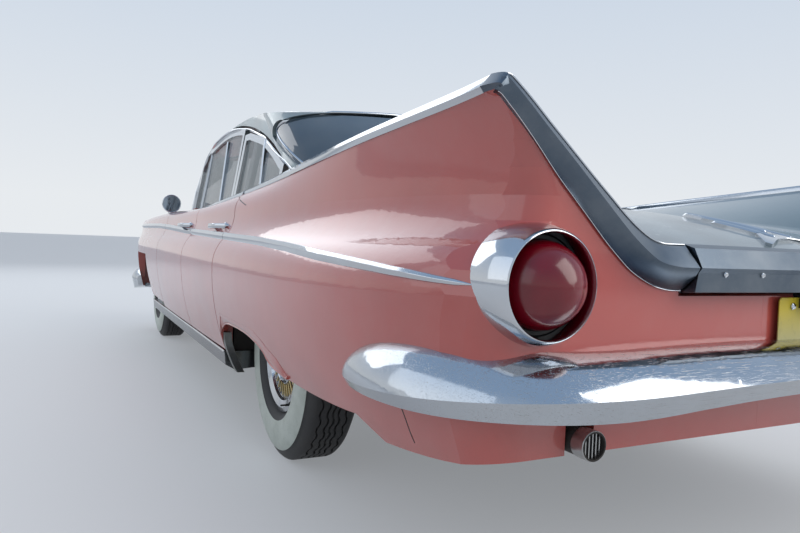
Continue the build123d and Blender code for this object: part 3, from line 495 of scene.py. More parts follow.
coral = coralPaint("coralPaint")
coralTwoTone = coralPaint("coralTwoTone", twoTone=True)
coralDoor = coralPaint("coralDoor", windowFrame=True)
roofPaint = metallicPaint("roofMetallic")
chrome = plating("brightChrome")
bumperChrome = plating(
    "bumperChrome", colour=(0.5, 0.53, 0.57), rough=0.07, pits=0.5, scratches=0.55, haze=0.25, dirtTop=0.45
)
agedChrome = plating(
    "agedChrome", colour=(0.105, 0.132, 0.165), rough=0.3, pits=0.35, scratches=0.05, haze=0.18
)
darkChrome = plating("darkChrome", colour=(0.13, 0.14, 0.15), rough=0.18, pits=0.3, scratches=0.2)
goldChrome = plating("goldChrome", colour=(0.62, 0.5, 0.26), rough=0.15, pits=0.3, scratches=0.1)
glass = tintedGlass("tintedGlass")
darkGlass = tintedGlass("rearGlass", tint=(0.035, 0.065, 0.1), alpha=0.78)
tyreRubber = rubber("tyreRubber")
whitewall = whiteRubber("whitewall")
lens = redLens("redLens")
blackTrim = matt("blackTrim", (0.012, 0.012, 0.012), rough=0.5)
underside = matt("undersideBlack", (0.02, 0.019, 0.018), rough=0.75, grain=40.0, dusty=0.7, top=0.7)
castIron = matt("enginePaint", (0.08, 0.13, 0.12), rough=0.5, grain=120.0)
dashVinyl = matt("dashVinyl", (0.06, 0.075, 0.08), rough=0.55, grain=400.0, lift=0.2, dusty=0.0)
seatCloth = wovenCloth("seatCloth")
seatVinyl = matt("seatVinyl", (0.085, 0.115, 0.118), rough=0.42, grain=700.0, lift=0.35, dusty=0.0)
cardVinyl = matt("cardVinyl", (0.105, 0.135, 0.138), rough=0.45, grain=650.0, lift=0.35, dusty=0.0)
wheelPlastic = matt("wheelPlastic", (0.2, 0.24, 0.235), rough=0.25, grain=30.0, lift=0.05, dusty=0.0)
dialFace = matt("dialFace", (0.35, 0.36, 0.33), rough=0.3, grain=200.0, lift=0.05, dusty=0.0)
# mirror glass: its dark blue-grey colour is a painted reflection, not the colour of silvering; pits,
# scratches and haze are wear
mirrorGlass = plating(
    "mirrorGlass", colour=(0.22, 0.27, 0.33), rough=0.03, pits=0.1, scratches=0.1, haze=0.3
)
guardSteel = plating(
    "guardSteel", colour=(0.2, 0.21, 0.2), rough=0.45, pits=0.6, scratches=0.4, haze=0.6, dirtTop=0.5
)
sootyChrome = plating(
    "sootyChrome", colour=(0.42, 0.42, 0.42), rough=0.25, pits=0.6, scratches=0.2, haze=0.5, dirtTop=0.6
)
plateFace = yellowPlate("plateFace")
print("materials made:", len(bpy.data.materials))


def nodesWith(start, end=""):
    return [name for name in nodes if name.startswith(start) and name.endswith(end)]


# the finish of each CAD node
nodeFinishes = [
    (coral, ["fender_left", "fender_right", "hood", "cowl", "tail_panel"]),
    (coralTwoTone, ["quarter_left", "quarter_right"]),
    (coralDoor, ["door_front_left", "door_front_right", "door_rear_left", "door_rear_right"]),
    (roofPaint, ["roof", "trunk_lid", "deck_panel"]),
    (glass, ["windscreen", "headlamps", *nodesWith("door", "glass")]),
    (darkGlass, ["rear_window"]),
    (chrome, ["headlamp_bezels", "fender_mirror", "tail_lamp_sleeves", *nodesWith("wheel")]),
    (darkChrome, ["sills"]),
    (bumperChrome, ["front_bumper", "rear_bumper", "grille"]),
    (agedChrome, ["fin_mouldings", "trunk_moulding"]),
    (lens, ["tail_lamps"]),
    (tyreRubber, nodesWith("tyre")),
    (underside, ["floor_pan", "chassis_frame", "rear_axle", "front_suspension", "exhaust"]),
    (underside, nodesWith("knuckle")),
    (castIron, ["engine_block"]),
    (dashVinyl, ["dashboard", "seats"]),
    (wheelPlastic, ["steering_wheel"]),
]
for material, names in nodeFinishes:
    for name in names:
        slots = nodes[name].data.materials
        slots.clear()
        slots.append(material)


# mesh helpers
def finishPiece(name, part, materials, body="body", angle=35, pick=None):
    # part: (verts, faces); body: the empty the piece is parented to; pick: material number from a face's
    # middle
    verts, faces = part
    mesh = bpy.data.meshes.new(name)
    mesh.from_pydata([tuple(v) for v in verts], [], faces)
    shape = bmesh.new()
    shape.from_mesh(mesh)
    bmesh.ops.remove_doubles(shape, verts=shape.verts, dist=0.00002)
    bmesh.ops.recalc_face_normals(shape, faces=shape.faces)
    shape.to_mesh(mesh)
    shape.free()
    piece = bpy.data.objects.new(name, mesh)
    bpy.context.scene.collection.objects.link(piece)
    for material in materials:
        mesh.materials.append(material)
    for face in mesh.polygons:
        face.use_smooth = True
        if pick:
            face.material_index = pick(face.center)
    mesh.set_sharp_from_angle(angle=math.radians(angle))
    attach(piece, body)
    return piece


def joined(*parts):
    # several (verts, faces) as one
    verts, faces = [], []
    for moreVerts, moreFaces in parts:
        start = len(verts)
        verts += list(moreVerts)
        faces += [[start + i for i in face] for face in moreFaces]
    return verts, faces


def mirrored(part):
    verts, faces = part
    return [Vector((v[0], -v[1], v[2])) for v in verts], [list(reversed(face)) for face in faces]


def addPair(name, part, materials, body="body", angle=35, pick=None):
    # left and right: one piece on the body, two pieces on a pair of doors or wheels
    if not body.endswith("_left"):
        return [finishPiece(name, joined(part, mirrored(part)), materials, body, angle, pick)]
    stem = body[: -len("_left")]
    left = finishPiece(name + "Left", part, materials, body, angle, pick)
    right = finishPiece(name + "Right", mirrored(part), materials, stem + "_right", angle, pick)
    return [left, right]


def skin(rows, ring=False):
    # quads between closed rows of points, capped at both ends; ring joins the last row to the first
    count = len(rows[0])
    verts = [Vector(p) for row in rows for p in row]
    faces = []
    for i in range(len(rows) if ring else len(rows) - 1):
        here, there = i * count, ((i + 1) % len(rows)) * count
        for j in range(count):
            k = (j + 1) % count
            faces.append([here + j, here + k, there + k, there + j])
    if not ring:
        faces.append(list(range(count)))
        faces.append([(len(rows) - 1) * count + j for j in reversed(range(count))])
    return verts, faces


def fullTurn(count):
    return [2 * math.pi * k / count for k in range(count)]


def sweep(path, profile):
    # path: (point, outward); profile: (across, out) round a closed outline
    rows = []
    for i, (place, out) in enumerate(path):
        before, after = path[max(i - 1, 0)][0], path[min(i + 1, len(path) - 1)][0]
        along = (after - before).normalized()
        across = along.cross(out).normalized()
        lift = across.cross(along).normalized()
        rows.append([place + across * u + lift * v for u, v in profile])
    return skin(rows)


def turnedRing(profile, centre, axis, segments, wobble=None):
    # profile: (distance along the axis, radius), closed, turned about X or Y through centre
    rows = []
    for i, angle in enumerate(fullTurn(segments)):
        c, s = math.cos(angle), math.sin(angle)
        row = []
        for j, (along, radius) in enumerate(profile):
            if wobble:
                along, radius = wobble(j, i, along, radius)
            if axis == "X":
                row.append((centre[0] + along, centre[1] + radius * c, centre[2] + radius * s))
            else:
                row.append((centre[0] + radius * c, centre[1] + along, centre[2] + radius * s))
        rows.append(row)
    return skin(rows, ring=True)


def tube(points, radius, sides, closed=False):
    # round bar along points
    rows, total = [], len(points)
    for i, place in enumerate(points):
        if closed:
            before, after = points[i - 1], points[(i + 1) % total]
        else:
            before, after = points[max(i - 1, 0)], points[min(i + 1, total - 1)]
        along = (Vector(after) - Vector(before)).normalized()
        side = along.cross(Vector((0, 0, 1)))
        side = side.normalized() if side.length > 0.01 else Vector((0, 1, 0))
        up = side.cross(along)
        turn = [(radius * math.cos(a), radius * math.sin(a)) for a in fullTurn(sides)]
        rows.append([Vector(place) + side * u + up * v for u, v in turn])
    return skin(rows, ring=closed)


def slab(corners, thick, bevel):
    # thin plate from a closed outline of (point, outward), with chamfered edges
    points = [p for p, out in corners]
    out = corners[0][1]
    middle = sum(points, Vector()) / len(points)
    inner = [p + (middle - p).normalized() * bevel for p in points]
    rows = [points, [p + out * (thick - bevel) for p in points], [p + out * thick for p in inner]]
    return skin(rows)


def smoothLine(points, rounds):
    # cuts corners, keeping both ends
    for _ in range(rounds):
        cut = [points[0]]
        for a, b in zip(points, points[1:]):
            cut.append(tuple(0.75 * p + 0.25 * q for p, q in zip(a, b)))
            cut.append(tuple(0.25 * p + 0.75 * q for p, q in zip(a, b)))
        points = cut + [points[-1]]
    return points


def evenLine(points, step):
    # points at even distances along a line
    made = [points[0]]
    carried = 0.0
    for a, b in zip(points, points[1:]):
        length = math.dist(a, b)
        at = step - carried
        while at < length:
            made.append(tuple(p + (q - p) * at / length for p, q in zip(a, b)))
            at += step
        carried = length - (at - step)
    made.append(points[-1])
    return made


def curveThrough(points, count):
    # smooth line through the points, at even parameter steps
    made = []
    last = len(points) - 1
    for i in range(count + 1):
        at = last * i / count
        k = min(int(at), last - 1)
        t = at - k
        p0, p1, p2, p3 = (Vector(points[min(max(k + j, 0), last)]) for j in (-1, 0, 1, 2))
        bend, twist = 2 * p0 - 5 * p1 + 4 * p2 - p3, 3 * p1 - p0 - 3 * p2 + p3
        made.append(0.5 * (2 * p1 + (p2 - p0) * t + bend * t**2 + twist * t**3))
    return made


def stations(rear, front, step):
    count = max(2, int(abs(front - rear) / step))
    return [rear + (front - rear) * i / count for i in range(count + 1)]


def squarish(count, acrossPower, upPower):
    # points round a unit square with rounded corners; a smaller power is squarer
    made = []
    for angle in fullTurn(count):
        c, s = math.cos(angle), math.sin(angle)
        made.append((math.copysign(abs(c) ** acrossPower, c), math.copysign(abs(s) ** upPower, s)))
    return made


def between(table, value):
    # value from a table of (at, value), in straight steps between its rows
    rows = sorted(table)
    if value <= rows[0][0]:
        return rows[0][1]
    for (a, p), (b, q) in zip(rows, rows[1:]):
        if value <= b:
            return p + (q - p) * (value - a) / (b - a)
    return rows[-1][1]


def meshTree(*names):
    verts, faces = [], []
    for name in names:
        mesh = nodes[name].data
        start = len(verts)
        verts += [v.co.copy() for v in mesh.vertices]
        faces += [[start + i for i in face.vertices] for face in mesh.polygons]
    return BVHTree.FromPolygons(verts, faces)


def castTo(tree, origin, direction):
    # first place and outward direction along a line; a line that slips through a panel gap tries beside it
    for aside in (0, 0.004, -0.004, 0.008, -0.008, 0.014, -0.014):
        start = Vector(origin) + Vector((aside, 0, 0))
        place, facing, index, reach = tree.ray_cast(start, Vector(direction))
        if place and (direction[1] == 0 or reach < 0.75):
            return place - Vector((aside, 0, 0)), facing
    return None, None


sideTree = meshTree("fender_left", "door_front_left", "door_rear_left", "quarter_left")
houseTree = meshTree("roof", "windscreen", "rear_window")
deckTree = meshTree("trunk_lid", "deck_panel", "quarter_left", "hood", "cowl", "fender_left")

halfRound = [
    (-1, -0.25), (-1, 0), (-0.85, 0.45), (-0.5, 0.82), (0, 1), (0.5, 0.82), (0.85, 0.45), (1, 0), (1, -0.25)
]


def onSide(x, z, tree=sideTree):
    # place and outward direction on the left side of the body
    return castTo(tree, (x, 1.4, z), (0, -1, 0))


def sidePath(line, tree=sideTree):
    # lays a line of (x, z) on the left side of the body
    path = [onSide(x, z, tree) for x, z in line]
    return [(place, facing) for place, facing in path if place]


def rounded(width, height):
    return [(u * width / 2, v * height) for u, v in halfRound]


# the joints between the panels of the left side: arcs about the door hinges, seen from above
hinges = dict(line=1.022, front=0.87, rear=-0.106, frontReach=0.97, rearReach=0.762, gap=0.006, carEnd=2.6)


def seamX(which, y, extra=0.0):
    # the joint ahead of the rear quarter (rear) or of the rear door (front), at one distance across
    return hinges[which] - math.sqrt((hinges[which + "Reach"] + extra) ** 2 - (hinges["line"] - y) ** 2)


def panelSpans(y):
    # (body, rear end, front end) of each panel of the left side
    gap = hinges["gap"]
    return [
        ("body", -hinges["carEnd"], seamX("rear", y, gap)),
        ("door_rear_left", seamX("rear", y), seamX("front", y, gap)),
        ("door_front_left", seamX("front", y), hinges["front"]),
        ("body", hinges["front"] + gap, hinges["carEnd"]),
    ]


def addAlongSide(look, section):
    # a strip along the side, split at the panel joints so that each door carries its own part
    for name, (body, rear, front) in zip(look["names"], panelSpans(look["seamY"])):
        places = stations(max(rear, look["rear"]), min(front, look["front"]), look["step"])
        addPair(name, skin([section(x) for x in places]), [chrome], body, angle=22)


# chrome strip along the top of each fin: (x, y) of the edge, (x, fullness) from a thin strip to a high one;
# proud, crease and foot: size of a thin strip and what a high one adds
finStrip = dict(
    names=["finStripQuarter", "finStripDoorRear", "finStripDoorFront", "finStripFront"],
    seamY=0.885,
    front=0.92,
    rear=-2.56,
    step=0.03,
    edge=0.022,
    edgeLine=[
        (-2.6, 0.912), (-2.15, 0.905), (-1.55, 0.9), (-0.86, 0.896), (-0.1, 0.892), (0.87, 0.846),
        (1.5, 0.872), (2.1, 0.898),
    ],
    taper=[(-1.4, 1.0), (-0.86, 0.45), (-0.1, 0.0)],
    proud=(0.004, 0.0122),
    crease=(0.001, 0.0045),
    foot=(0.013, -0.005),
)
# dark end piece of the strip: (x, size) of its sections; they shrink towards one point of the
# strip's section, taken a little behind the strip's end
finCap = dict(
    behind=0.012,
    point=8,
    sections=[
        (-2.5612, 1.0), (-2.572, 0.975), (-2.583, 0.935), (-2.593, 0.885), (-2.601, 0.83), (-2.607, 0.765),
        (-2.612, 0.68), (-2.616, 0.57), (-2.6185, 0.42),
    ],
)


def crestAt(x):
    # highest line of the fin, searched across
    middle, reach = between(finStrip["edgeLine"], x) - finStrip["edge"], 0.012
    low, high = middle - reach, middle + reach

    def height(y):
        place, facing = castTo(sideTree, (x, y, 1.3), (0, 0, -1))
        return place.z if place else 0.0

    for _ in range(24):
        a, b = low + (high - low) / 3, high - (high - low) / 3
        if height(a) < height(b):
            low = a
        else:
            high = b
    return Vector((x, (low + high) / 2, height((low + high) / 2)))


def finSection(x):
    # closed outline round the top edge of the fin
    crest = crestAt(x)
    edge = crest + Vector((0, finStrip["edge"], -finStrip["edge"] / 2))
    face, facing = onSide(x, edge.z - 0.02)
    down = (face - edge).normalized() if face else Vector((0, 0, -1))
    out = Vector((0, -down.z, down.y))
    full = between(finStrip["taper"], x)
    proud, rise, reach = (finStrip[key][0] + finStrip[key][1] * full for key in ("proud", "crease", "foot"))
    crease = edge + out * 0.0055 + Vector((0, 0.001, rise))
    foot = edge + down * reach
    top = crest + Vector((0, 0.001, proud))
    return [
        crest + Vector((0, -0.01, -0.006)),
        crest + Vector((0, -0.01, 0.001)),
        top + Vector((0, -0.007, 0.001 - proud * 0.3)),
        top + Vector((0, -0.002, 0)),
        top + Vector((0, 0.003, -0.001)),
        crease + Vector((0, -0.0025, 0.002)),
        crease,
        crease + down * 0.003,
        foot + out * 0.0035,
        foot + out * 0.0015 + down * 0.001,
        foot - out * 0.002,
        edge + Vector((0, -0.008, -0.004)),
    ]


def makeFinCaps():
    # rounded over the tip of the fin
    model = finSection(finStrip["rear"] - finCap["behind"])
    foot = model[finCap["point"]]
    rows = []
    for x, size in finCap["sections"]:
        shift = Vector((x - model[0].x, 0, 0))
        rows.append([foot + (p - foot) * size + shift for p in model])
    addPair("finCap", skin(rows), [agedChrome], angle=30)


addAlongSide(finStrip, finSection)
makeFinCaps()

# spear of trim along the flank: (x, z) of its middle, (x, width), and its section from foot to crest
spear = dict(
    names=["spearRear", "spearDoorRear", "spearDoorFront", "spearFront"],
    seamY=0.975,
    front=2.455,
    rear=-2.557,
    step=0.035,
    line=[
        (2.46, 0.848), (1.75, 0.843), (1.16, 0.838), (0.65, 0.823), (0.12, 0.803), (-0.33, 0.79),
        (-0.78, 0.778), (-1.15, 0.769), (-1.42, 0.763), (-1.75, 0.751), (-1.93, 0.742), (-2.11, 0.7345),
        (-2.26, 0.7275), (-2.37, 0.721), (-2.463, 0.716), (-2.558, 0.7105),
    ],
    width=[
        (2.46, 0.006), (2.2, 0.032), (0.1, 0.034), (-0.78, 0.041), (-1.42, 0.039), (-1.93, 0.035),
        (-2.2, 0.027), (-2.43, 0.019), (-2.53, 0.011), (-2.558, 0.002),
    ],
    depth=0.011,
    fullWidth=0.02,
    section=[
        (-0.5, -0.1), (-0.5, 0.3), (-0.42, 0.62), (-0.02, 1.0), (0.04, 0.98), (0.42, 0.42), (0.5, 0.15),
        (0.5, -0.1),
    ],
)


def spearSection(x):
    place, facing = onSide(x, between(spear["line"], x))
    width = between(spear["width"], x)
    depth = spear["depth"] * min(1.0, width / spear["fullWidth"])
    up = Vector((0, 0, 1))
    return [place + up * (u * width) + facing * (v * depth) for u, v in spear["section"]]


addAlongSide(spear, spearSection)
print("side strips and spears made")

# sleeve and dark ring of each tail lamp: (x, radius)
tailLamp = dict(
    y=0.8,
    z=0.714,
    sleeve=[
        (-2.54, 0.1045), (-2.545, 0.1095), (-2.575, 0.1105), (-2.6, 0.109), (-2.62, 0.1055), (-2.636, 0.1),
        (-2.6405, 0.0975), (-2.642, 0.0962), (-2.6425, 0.0945), (-2.6405, 0.093), (-2.634, 0.0918),
        (-2.62, 0.0905), (-2.585, 0.089), (-2.56, 0.089), (-2.545, 0.095),
    ],
    ring=[
        (-2.555, 0.0795), (-2.5995, 0.0803), (-2.601, 0.0815), (-2.601, 0.088), (-2.599, 0.0893),
        (-2.555, 0.0893),
    ],
    segments=96,
)


def makeTailLamps():
    centre = (0, tailLamp["y"], tailLamp["z"])
    segments = tailLamp["segments"]
    sleeve, ring = (turnedRing(tailLamp[part], centre, "X", segments) for part in ("sleeve", "ring"))
    sleeves = addPair("tailLampSleeves", sleeve, [chrome])
    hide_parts("tail_lamp_sleeves")
    addPair("tailLampRings", ring, [blackTrim], "body")


makeTailLamps()

# tyres: (distance from the wheel's middle, radius)
wheelPlaces = dict(front=(1.897, 0.775, 0.355), rear=(-1.227, 0.76, 0.355))
tyreShape = dict(
    outer=[
        (0.066, 0.1915), (0.074, 0.1935), (0.083, 0.2), (0.093, 0.211), (0.0962, 0.2165), (0.0985, 0.2178),
        (0.1, 0.225), (0.1015, 0.235), (0.1025, 0.262), (0.0995, 0.29), (0.0935, 0.312), (0.0898, 0.3196),
        (0.0875, 0.3205), (0.081, 0.332), (0.074, 0.344), (0.0665, 0.3505), (0.062, 0.3535),
    ],
    tread=[
        (0.056, 0.355), (0.0475, 0.355), (0.0465, 0.3465), (0.0425, 0.3465), (0.0415, 0.355),
        (0.0225, 0.355), (0.0212, 0.3462), (0.0162, 0.3462), (0.015, 0.355), (0.0035, 0.355),
        (0.0025, 0.348),
    ],
    treadHalf=0.05,
    zigzag=0.0035,
    whiteBand=(0.2178, 0.3196),
    whiteFrom=0.08,
    segments=144,
)


def makeTyres():
    half = tyreShape["outer"] + tyreShape["tread"]
    profile = half + [(-a, r) for a, r in reversed(half)]
    firstTread, lastTread = len(tyreShape["outer"]), len(profile) - len(tyreShape["outer"])

    def shuffle(j, i, along, radius):
        if firstTread <= j < lastTread and abs(along) < tyreShape["treadHalf"]:
            along += tyreShape["zigzag"] * (1 if i % 4 < 2 else -1)
        return along, radius

    for end, centre in wheelPlaces.items():
        part = turnedRing(profile, centre, "Y", tyreShape["segments"], shuffle)

        def pickBand(middle, centre=centre):
            radius = math.hypot(middle.x - centre[0], middle.z - centre[2])
            low, high = tyreShape["whiteBand"]
            return 1 if low < radius < high and abs(middle.y) - centre[1] > tyreShape["whiteFrom"] else 0

        pieces = addPair(
            "tyre" + end.title(), part, [tyreRubber, whitewall], f"wheel_{end}_left", 40, pickBand
        )
        for piece, side in zip(pieces, ("left", "right")):
            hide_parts(f"tyre_{end}_{side}")


makeTyres()
print("tail lamps and tyres made")

# wheel covers: bright rings, ribs on a dark plate and the valve; profiles are (distance along, radius)
cover = dict(
    ribs=30,
    ribRadii=(0.092, 0.14),
    ribBase=0.0605,
    ribTop=0.0665,
    ribWidth=0.0042,
    ribSink=0.002,
    ribSteps=(0, 0.08, 0.5, 0.92, 1),
    rings=[
        [(0.058, 0.143), (0.064, 0.144), (0.0665, 0.147), (0.066, 0.151), (0.06, 0.153)],
        [(0.058, 0.085), (0.068, 0.086), (0.071, 0.089), (0.068, 0.092), (0.058, 0.093)],
        [(0.06, 0.172), (0.07, 0.1735), (0.0735, 0.178), (0.072, 0.184), (0.064, 0.187), (0.058, 0.185)],
    ],
    plate=[(0.056, 0.09), (0.0618, 0.0905), (0.0618, 0.1445), (0.056, 0.145)],
    stem=[
        (0.0, 0.004), (0.012, 0.004), (0.012, 0.0032), (0.022, 0.0028), (0.024, 0.0034), (0.03, 0.003),
        (0.03, 0.0), (0.0, 0.0),
    ],
    stemFoot=(-0.105, 0.078, -0.145),
    segments=96,
)


def coverRib(centre, angle):
    out = Vector((math.cos(angle), 0, math.sin(angle)))
    across = Vector((-math.sin(angle), 0, math.cos(angle)))
    inner, outer = cover["ribRadii"]
    foot = cover["ribBase"] - cover["ribSink"]
    rows = []
    for t in cover["ribSteps"]:
        wide = cover["ribWidth"] * (0.55 + 0.45 * t) * (0.6 if t in (0, 1) else 1)
        high = cover["ribTop"] if 0 < t < 1 else cover["ribBase"] + 0.001
        base = Vector(centre) + out * (inner + (outer - inner) * t)
        section = [(1, foot), (0.7, high - 0.001), (0, high), (-0.7, high - 0.001), (-1, foot)]
        rows.append([base + across * wide * u + Vector((0, y, 0)) for u, y in section])
    return skin(rows)


def makeWheelCovers():
    for end, centre in wheelPlaces.items():
        label, body = end.title(), f"wheel_{end}_left"
        ribs = [coverRib(centre, 2 * math.pi * i / cover["ribs"]) for i in range(cover["ribs"])]
        rings = [turnedRing(ring, centre, "Y", cover["segments"]) for ring in cover["rings"]]
        plate = turnedRing(cover["plate"], centre, "Y", cover["segments"])
        foot = tuple(a + b for a, b in zip(centre, cover["stemFoot"]))
        addPair("coverRibs" + label, joined(*ribs), [goldChrome], body)
        addPair("coverRings" + label, joined(*rings), [chrome], body)
        addPair("coverPlate" + label, plate, [darkChrome], body)
        addPair("valveStem" + label, turnedRing(cover["stem"], foot, "Y", 14), [blackTrim], body)


makeWheelCovers()

# fin mouldings: outer foot (y, z), ridge (x, y, z) and inner edge (y, z) down the rear of the fin
finMoulding = dict(
    footX=-2.6035,
    innerX=-2.608,
    outer=[
        (0.9102, 1.0376), (0.8975, 1.0337), (0.8798, 1.0183), (0.8597, 1.0002), (0.8222, 0.9631),
        (0.7705, 0.9082), (0.7306, 0.8706), (0.6935, 0.8357), (0.6554, 0.7996), (0.6194, 0.7689),
        (0.5828, 0.7416), (0.5331, 0.7181), (0.49, 0.708), (0.451, 0.706),
    ],
    ridge=[
        (-2.6115, 0.905, 1.056), (-2.617, 0.8962, 1.0589), (-2.624, 0.8835, 1.045),
        (-2.628, 0.8544, 1.0178), (-2.63, 0.8186, 0.9849), (-2.632, 0.7633, 0.9369),
        (-2.633, 0.7214, 0.9001), (-2.634, 0.6842, 0.8671), (-2.636, 0.6495, 0.8353),
        (-2.638, 0.6179, 0.8075), (-2.641, 0.585, 0.7822), (-2.643, 0.548, 0.7615), (-2.645, 0.5, 0.753),
        (-2.648, 0.451, 0.752),
    ],
    inner=[
        (0.899, 1.062), (0.8853, 1.0654), (0.8669, 1.0537), (0.8336, 1.0275), (0.7949, 0.9947),
        (0.7357, 0.9461), (0.6905, 0.9092), (0.6501, 0.8772), (0.6114, 0.8467), (0.5764, 0.823),
        (0.544, 0.806), (0.513, 0.7975), (0.48, 0.7965), (0.451, 0.797),
    ],
    stations=72,
    rootDepth=0.012,
    bulges=[(0.3, 0.0035), (0.62, 0.0045), (0.88, 0.0025)],
    beadRadius=0.0017,
    edgeRadius=0.0011,
)


def makeFinMouldings():
    shape = finMoulding
    feet = [(shape["footX"], y, z) for y, z in shape["outer"]]
    inners = [(shape["innerX"], y, z) for y, z in shape["inner"]]
    lines = (feet, shape["ridge"], inners)
    feet, ridges, inners = (curveThrough(line, shape["stations"]) for line in lines)
    rows, bead, forward = [], [], Vector((1, 0, 0))
    for foot, ridge, inner in zip(feet, ridges, inners):
        across = ridge - foot
        sunk = foot + forward * shape["rootDepth"] + Vector((0, -0.004, -0.002))
        hidden = inner + forward * shape["rootDepth"] + Vector((0, -0.002, -0.004))
        bulge = across.cross(Vector((0, 1, -1))).normalized()
        if bulge.x > 0:
            bulge = -bulge
        rows.append([
            sunk,
            foot + Vector((-0.0005, 0.0005, -0.0005)),
            foot + across * 0.04 - forward * 0.0025,
            *(foot + across * t + bulge * high for t, high in shape["bulges"]),
            ridge,
            ridge + (inner - ridge) * 0.1 + Vector((0.0005, 0, 0.0008)),
            ridge + (inner - ridge) * 0.55 + Vector((0, 0, 0.0008)),
            inner + (ridge - inner) * 0.12,
            inner,
            hidden,
            (sunk + hidden) / 2,
        ])
        bead.append(inner + (ridge - inner).normalized() * 0.002 + Vector((-0.0012, 0, 0.0008)))
    pieces = addPair("finMouldings", skin(rows), [agedChrome], angle=30)
    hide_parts("fin_mouldings")
    addPair("finMouldingBeads", tube(bead[4:-1], shape["beadRadius"], 8), [chrome])
    edge = [foot + Vector((-0.0008, 0.0006, -0.0008)) for foot in feet[3:]]
    addPair("finMouldingEdges", tube(edge, shape["edgeRadius"], 6), [chrome])


makeFinMouldings()

# bright lines round the cabin: (x, z) seen from the side
dripRail = dict(
    line=[
        (0.886, 0.935), (0.886, 1.15), (0.826, 1.285), (0.66, 1.338), (0.31, 1.383), (-0.05, 1.358),
        (-0.42, 1.27), (-0.76, 1.13), (-1.0, 1.025), (-1.1, 0.985),
    ],
    aside=0.01,
    width=0.014,
    height=0.012,
    section=[
        (-0.5, -0.3), (-0.5, 0.5), (-0.3, 0.95), (0.0, 1.0), (0.22, 0.8), (0.3, 0.35), (0.42, 0.3),
        (0.5, 0.5), (0.5, -0.3),
    ],
)
windowTrim = dict(
    rear=[(-1.24, 0.936), (-0.568, 1.246), (-0.58, 1.286), (-0.64, 1.306)],
    rearTop=((-0.64, 1.306), (-0.842, 1.362)),
    front=[(0.95, 0.9), (0.95, 1.15), (0.907, 1.25), (0.817, 1.31)],
    frontTop=((0.817, 1.31), (0.965, 1.35)),
    across=[0.5, 0.42, 0.34, 0.26, 0.18, 0.09, 0.0],
    aside=0.006,
    width=0.013,
    height=0.007,
)


def aside(line, distance):
    # moves a line of (x, z) to its left
    made = []
    for i, (x, z) in enumerate(line):
        before, after = line[max(i - 1, 0)], line[min(i + 1, len(line) - 1)]
        dx, dz = after[0] - before[0], after[1] - before[1]
        size = math.hypot(dx, dz)
        made.append((x + dz / size * distance, z - dx / size * distance))
    return made


def acrossRoof(ends, ys):
    # where the roof meets the sloping plane through two (x, z) ends, at each distance from the centreline
    made = []
    for y in ys:
        low, high = 0.0, 1.0
        for _ in range(22):
            t = (low + high) / 2
            x = ends[0][0] + (ends[1][0] - ends[0][0]) * t
            z = ends[0][1] + (ends[1][1] - ends[0][1]) * t
            place, facing = castTo(houseTree, (x, y, 1.8), (0, 0, -1))
            if place and place.z > z:
                low = t
            else:
                high = t
        x = ends[0][0] + (ends[1][0] - ends[0][0]) * low
        place, facing = castTo(houseTree, (x, y, 1.8), (0, 0, -1))
        if place:
            made.append((place, facing))
    return made


def evenFacings(path, reach=4):
    # softens the places across the car and the outward directions along a path
    made = []
    for i, (place, facing) in enumerate(path):
        span = min(reach, i, len(path) - 1 - i)
        near = path[i - span : i + span + 1]
        y = sum(p.y for p, f in near) / len(near)
        turned = sum(
            (f if f.y > 0.1 else Vector((0, 1, 0.3)) for p, f in path[max(0, i - reach) : i + reach + 1]),
            Vector(),
        )
        made.append((Vector((place.x, y, place.z)), turned.normalized()))
    return made


def makeCabinTrim():
    shell = meshTree("roof", "windscreen", "rear_window", "door_front_left", "door_rear_left")
    soft = smoothLine(dripRail["line"], 3)
    line = evenLine(aside(soft, -dripRail["aside"]), 0.025)
    path = evenFacings(sidePath(line, shell), 6)
    outline = [(u * dripRail["width"], v * dripRail["height"]) for u, v in dripRail["section"]]
    addPair("dripRails", sweep(path, outline), [chrome], angle=30)
    for label, side, shift in (("rearWindowTrim", "rear", -1), ("windscreenTrim", "front", 1)):
        line = evenLine(aside(smoothLine(windowTrim[side], 2), windowTrim["aside"] * shift), 0.03)
        path = evenFacings(sidePath(line, shell), 4)
        crown = acrossRoof(windowTrim[side + "Top"], windowTrim["across"])
        crown = [(p, f) for p, f in crown if p.y < path[-1][0].y - 0.02]
        half = path + crown
        other = [(Vector((p.x, -p.y, p.z)), Vector((f.x, -f.y, f.z))) for p, f in reversed(half[:-1])]
        piece = sweep(half + other, rounded(windowTrim["width"], windowTrim["height"]))
        finishPiece(label, piece, [chrome])


makeCabinTrim()
print("mouldings and cabin trim made")

# division bars of the side windows: body, (x, y, z) of top and foot, width
windowBars = dict(
    ventBar=("door_front_left", (0.3, 0.712, 1.312), (0.228, 0.766, 0.955), 0.02),
    ventBead=("door_front_left", (0.7, 0.716, 1.3), (0.68, 0.786, 0.93), 0.009),
    quarterLightBar=("door_rear_left", (-0.452, 0.705, 1.236), (-0.52, 0.746, 0.945), 0.024),
)
barShape = dict(
    deep=0.018,
    proud=0.004,
    steps=8,
    section=[(-0.5, -0.5), (-0.5, 0.2), (-0.36, 0.42), (0.0, 0.5), (0.36, 0.42), (0.5, 0.2), (0.5, -0.5)],
)


def makeWindowBars():
    out = Vector((0, 1, 0.15)).normalized()
    for name, (body, top, foot, width) in windowBars.items():
        top, foot = Vector(top), Vector(foot)
        ways = [i / barShape["steps"] for i in range(barShape["steps"] + 1)]
        path = [(foot + (top - foot) * t + out * barShape["proud"], out) for t in ways]
        outline = [(u * width, v * barShape["deep"]) for u, v in barShape["section"]]
        addPair(name, sweep(path, outline), [chrome], body)


makeWindowBars()

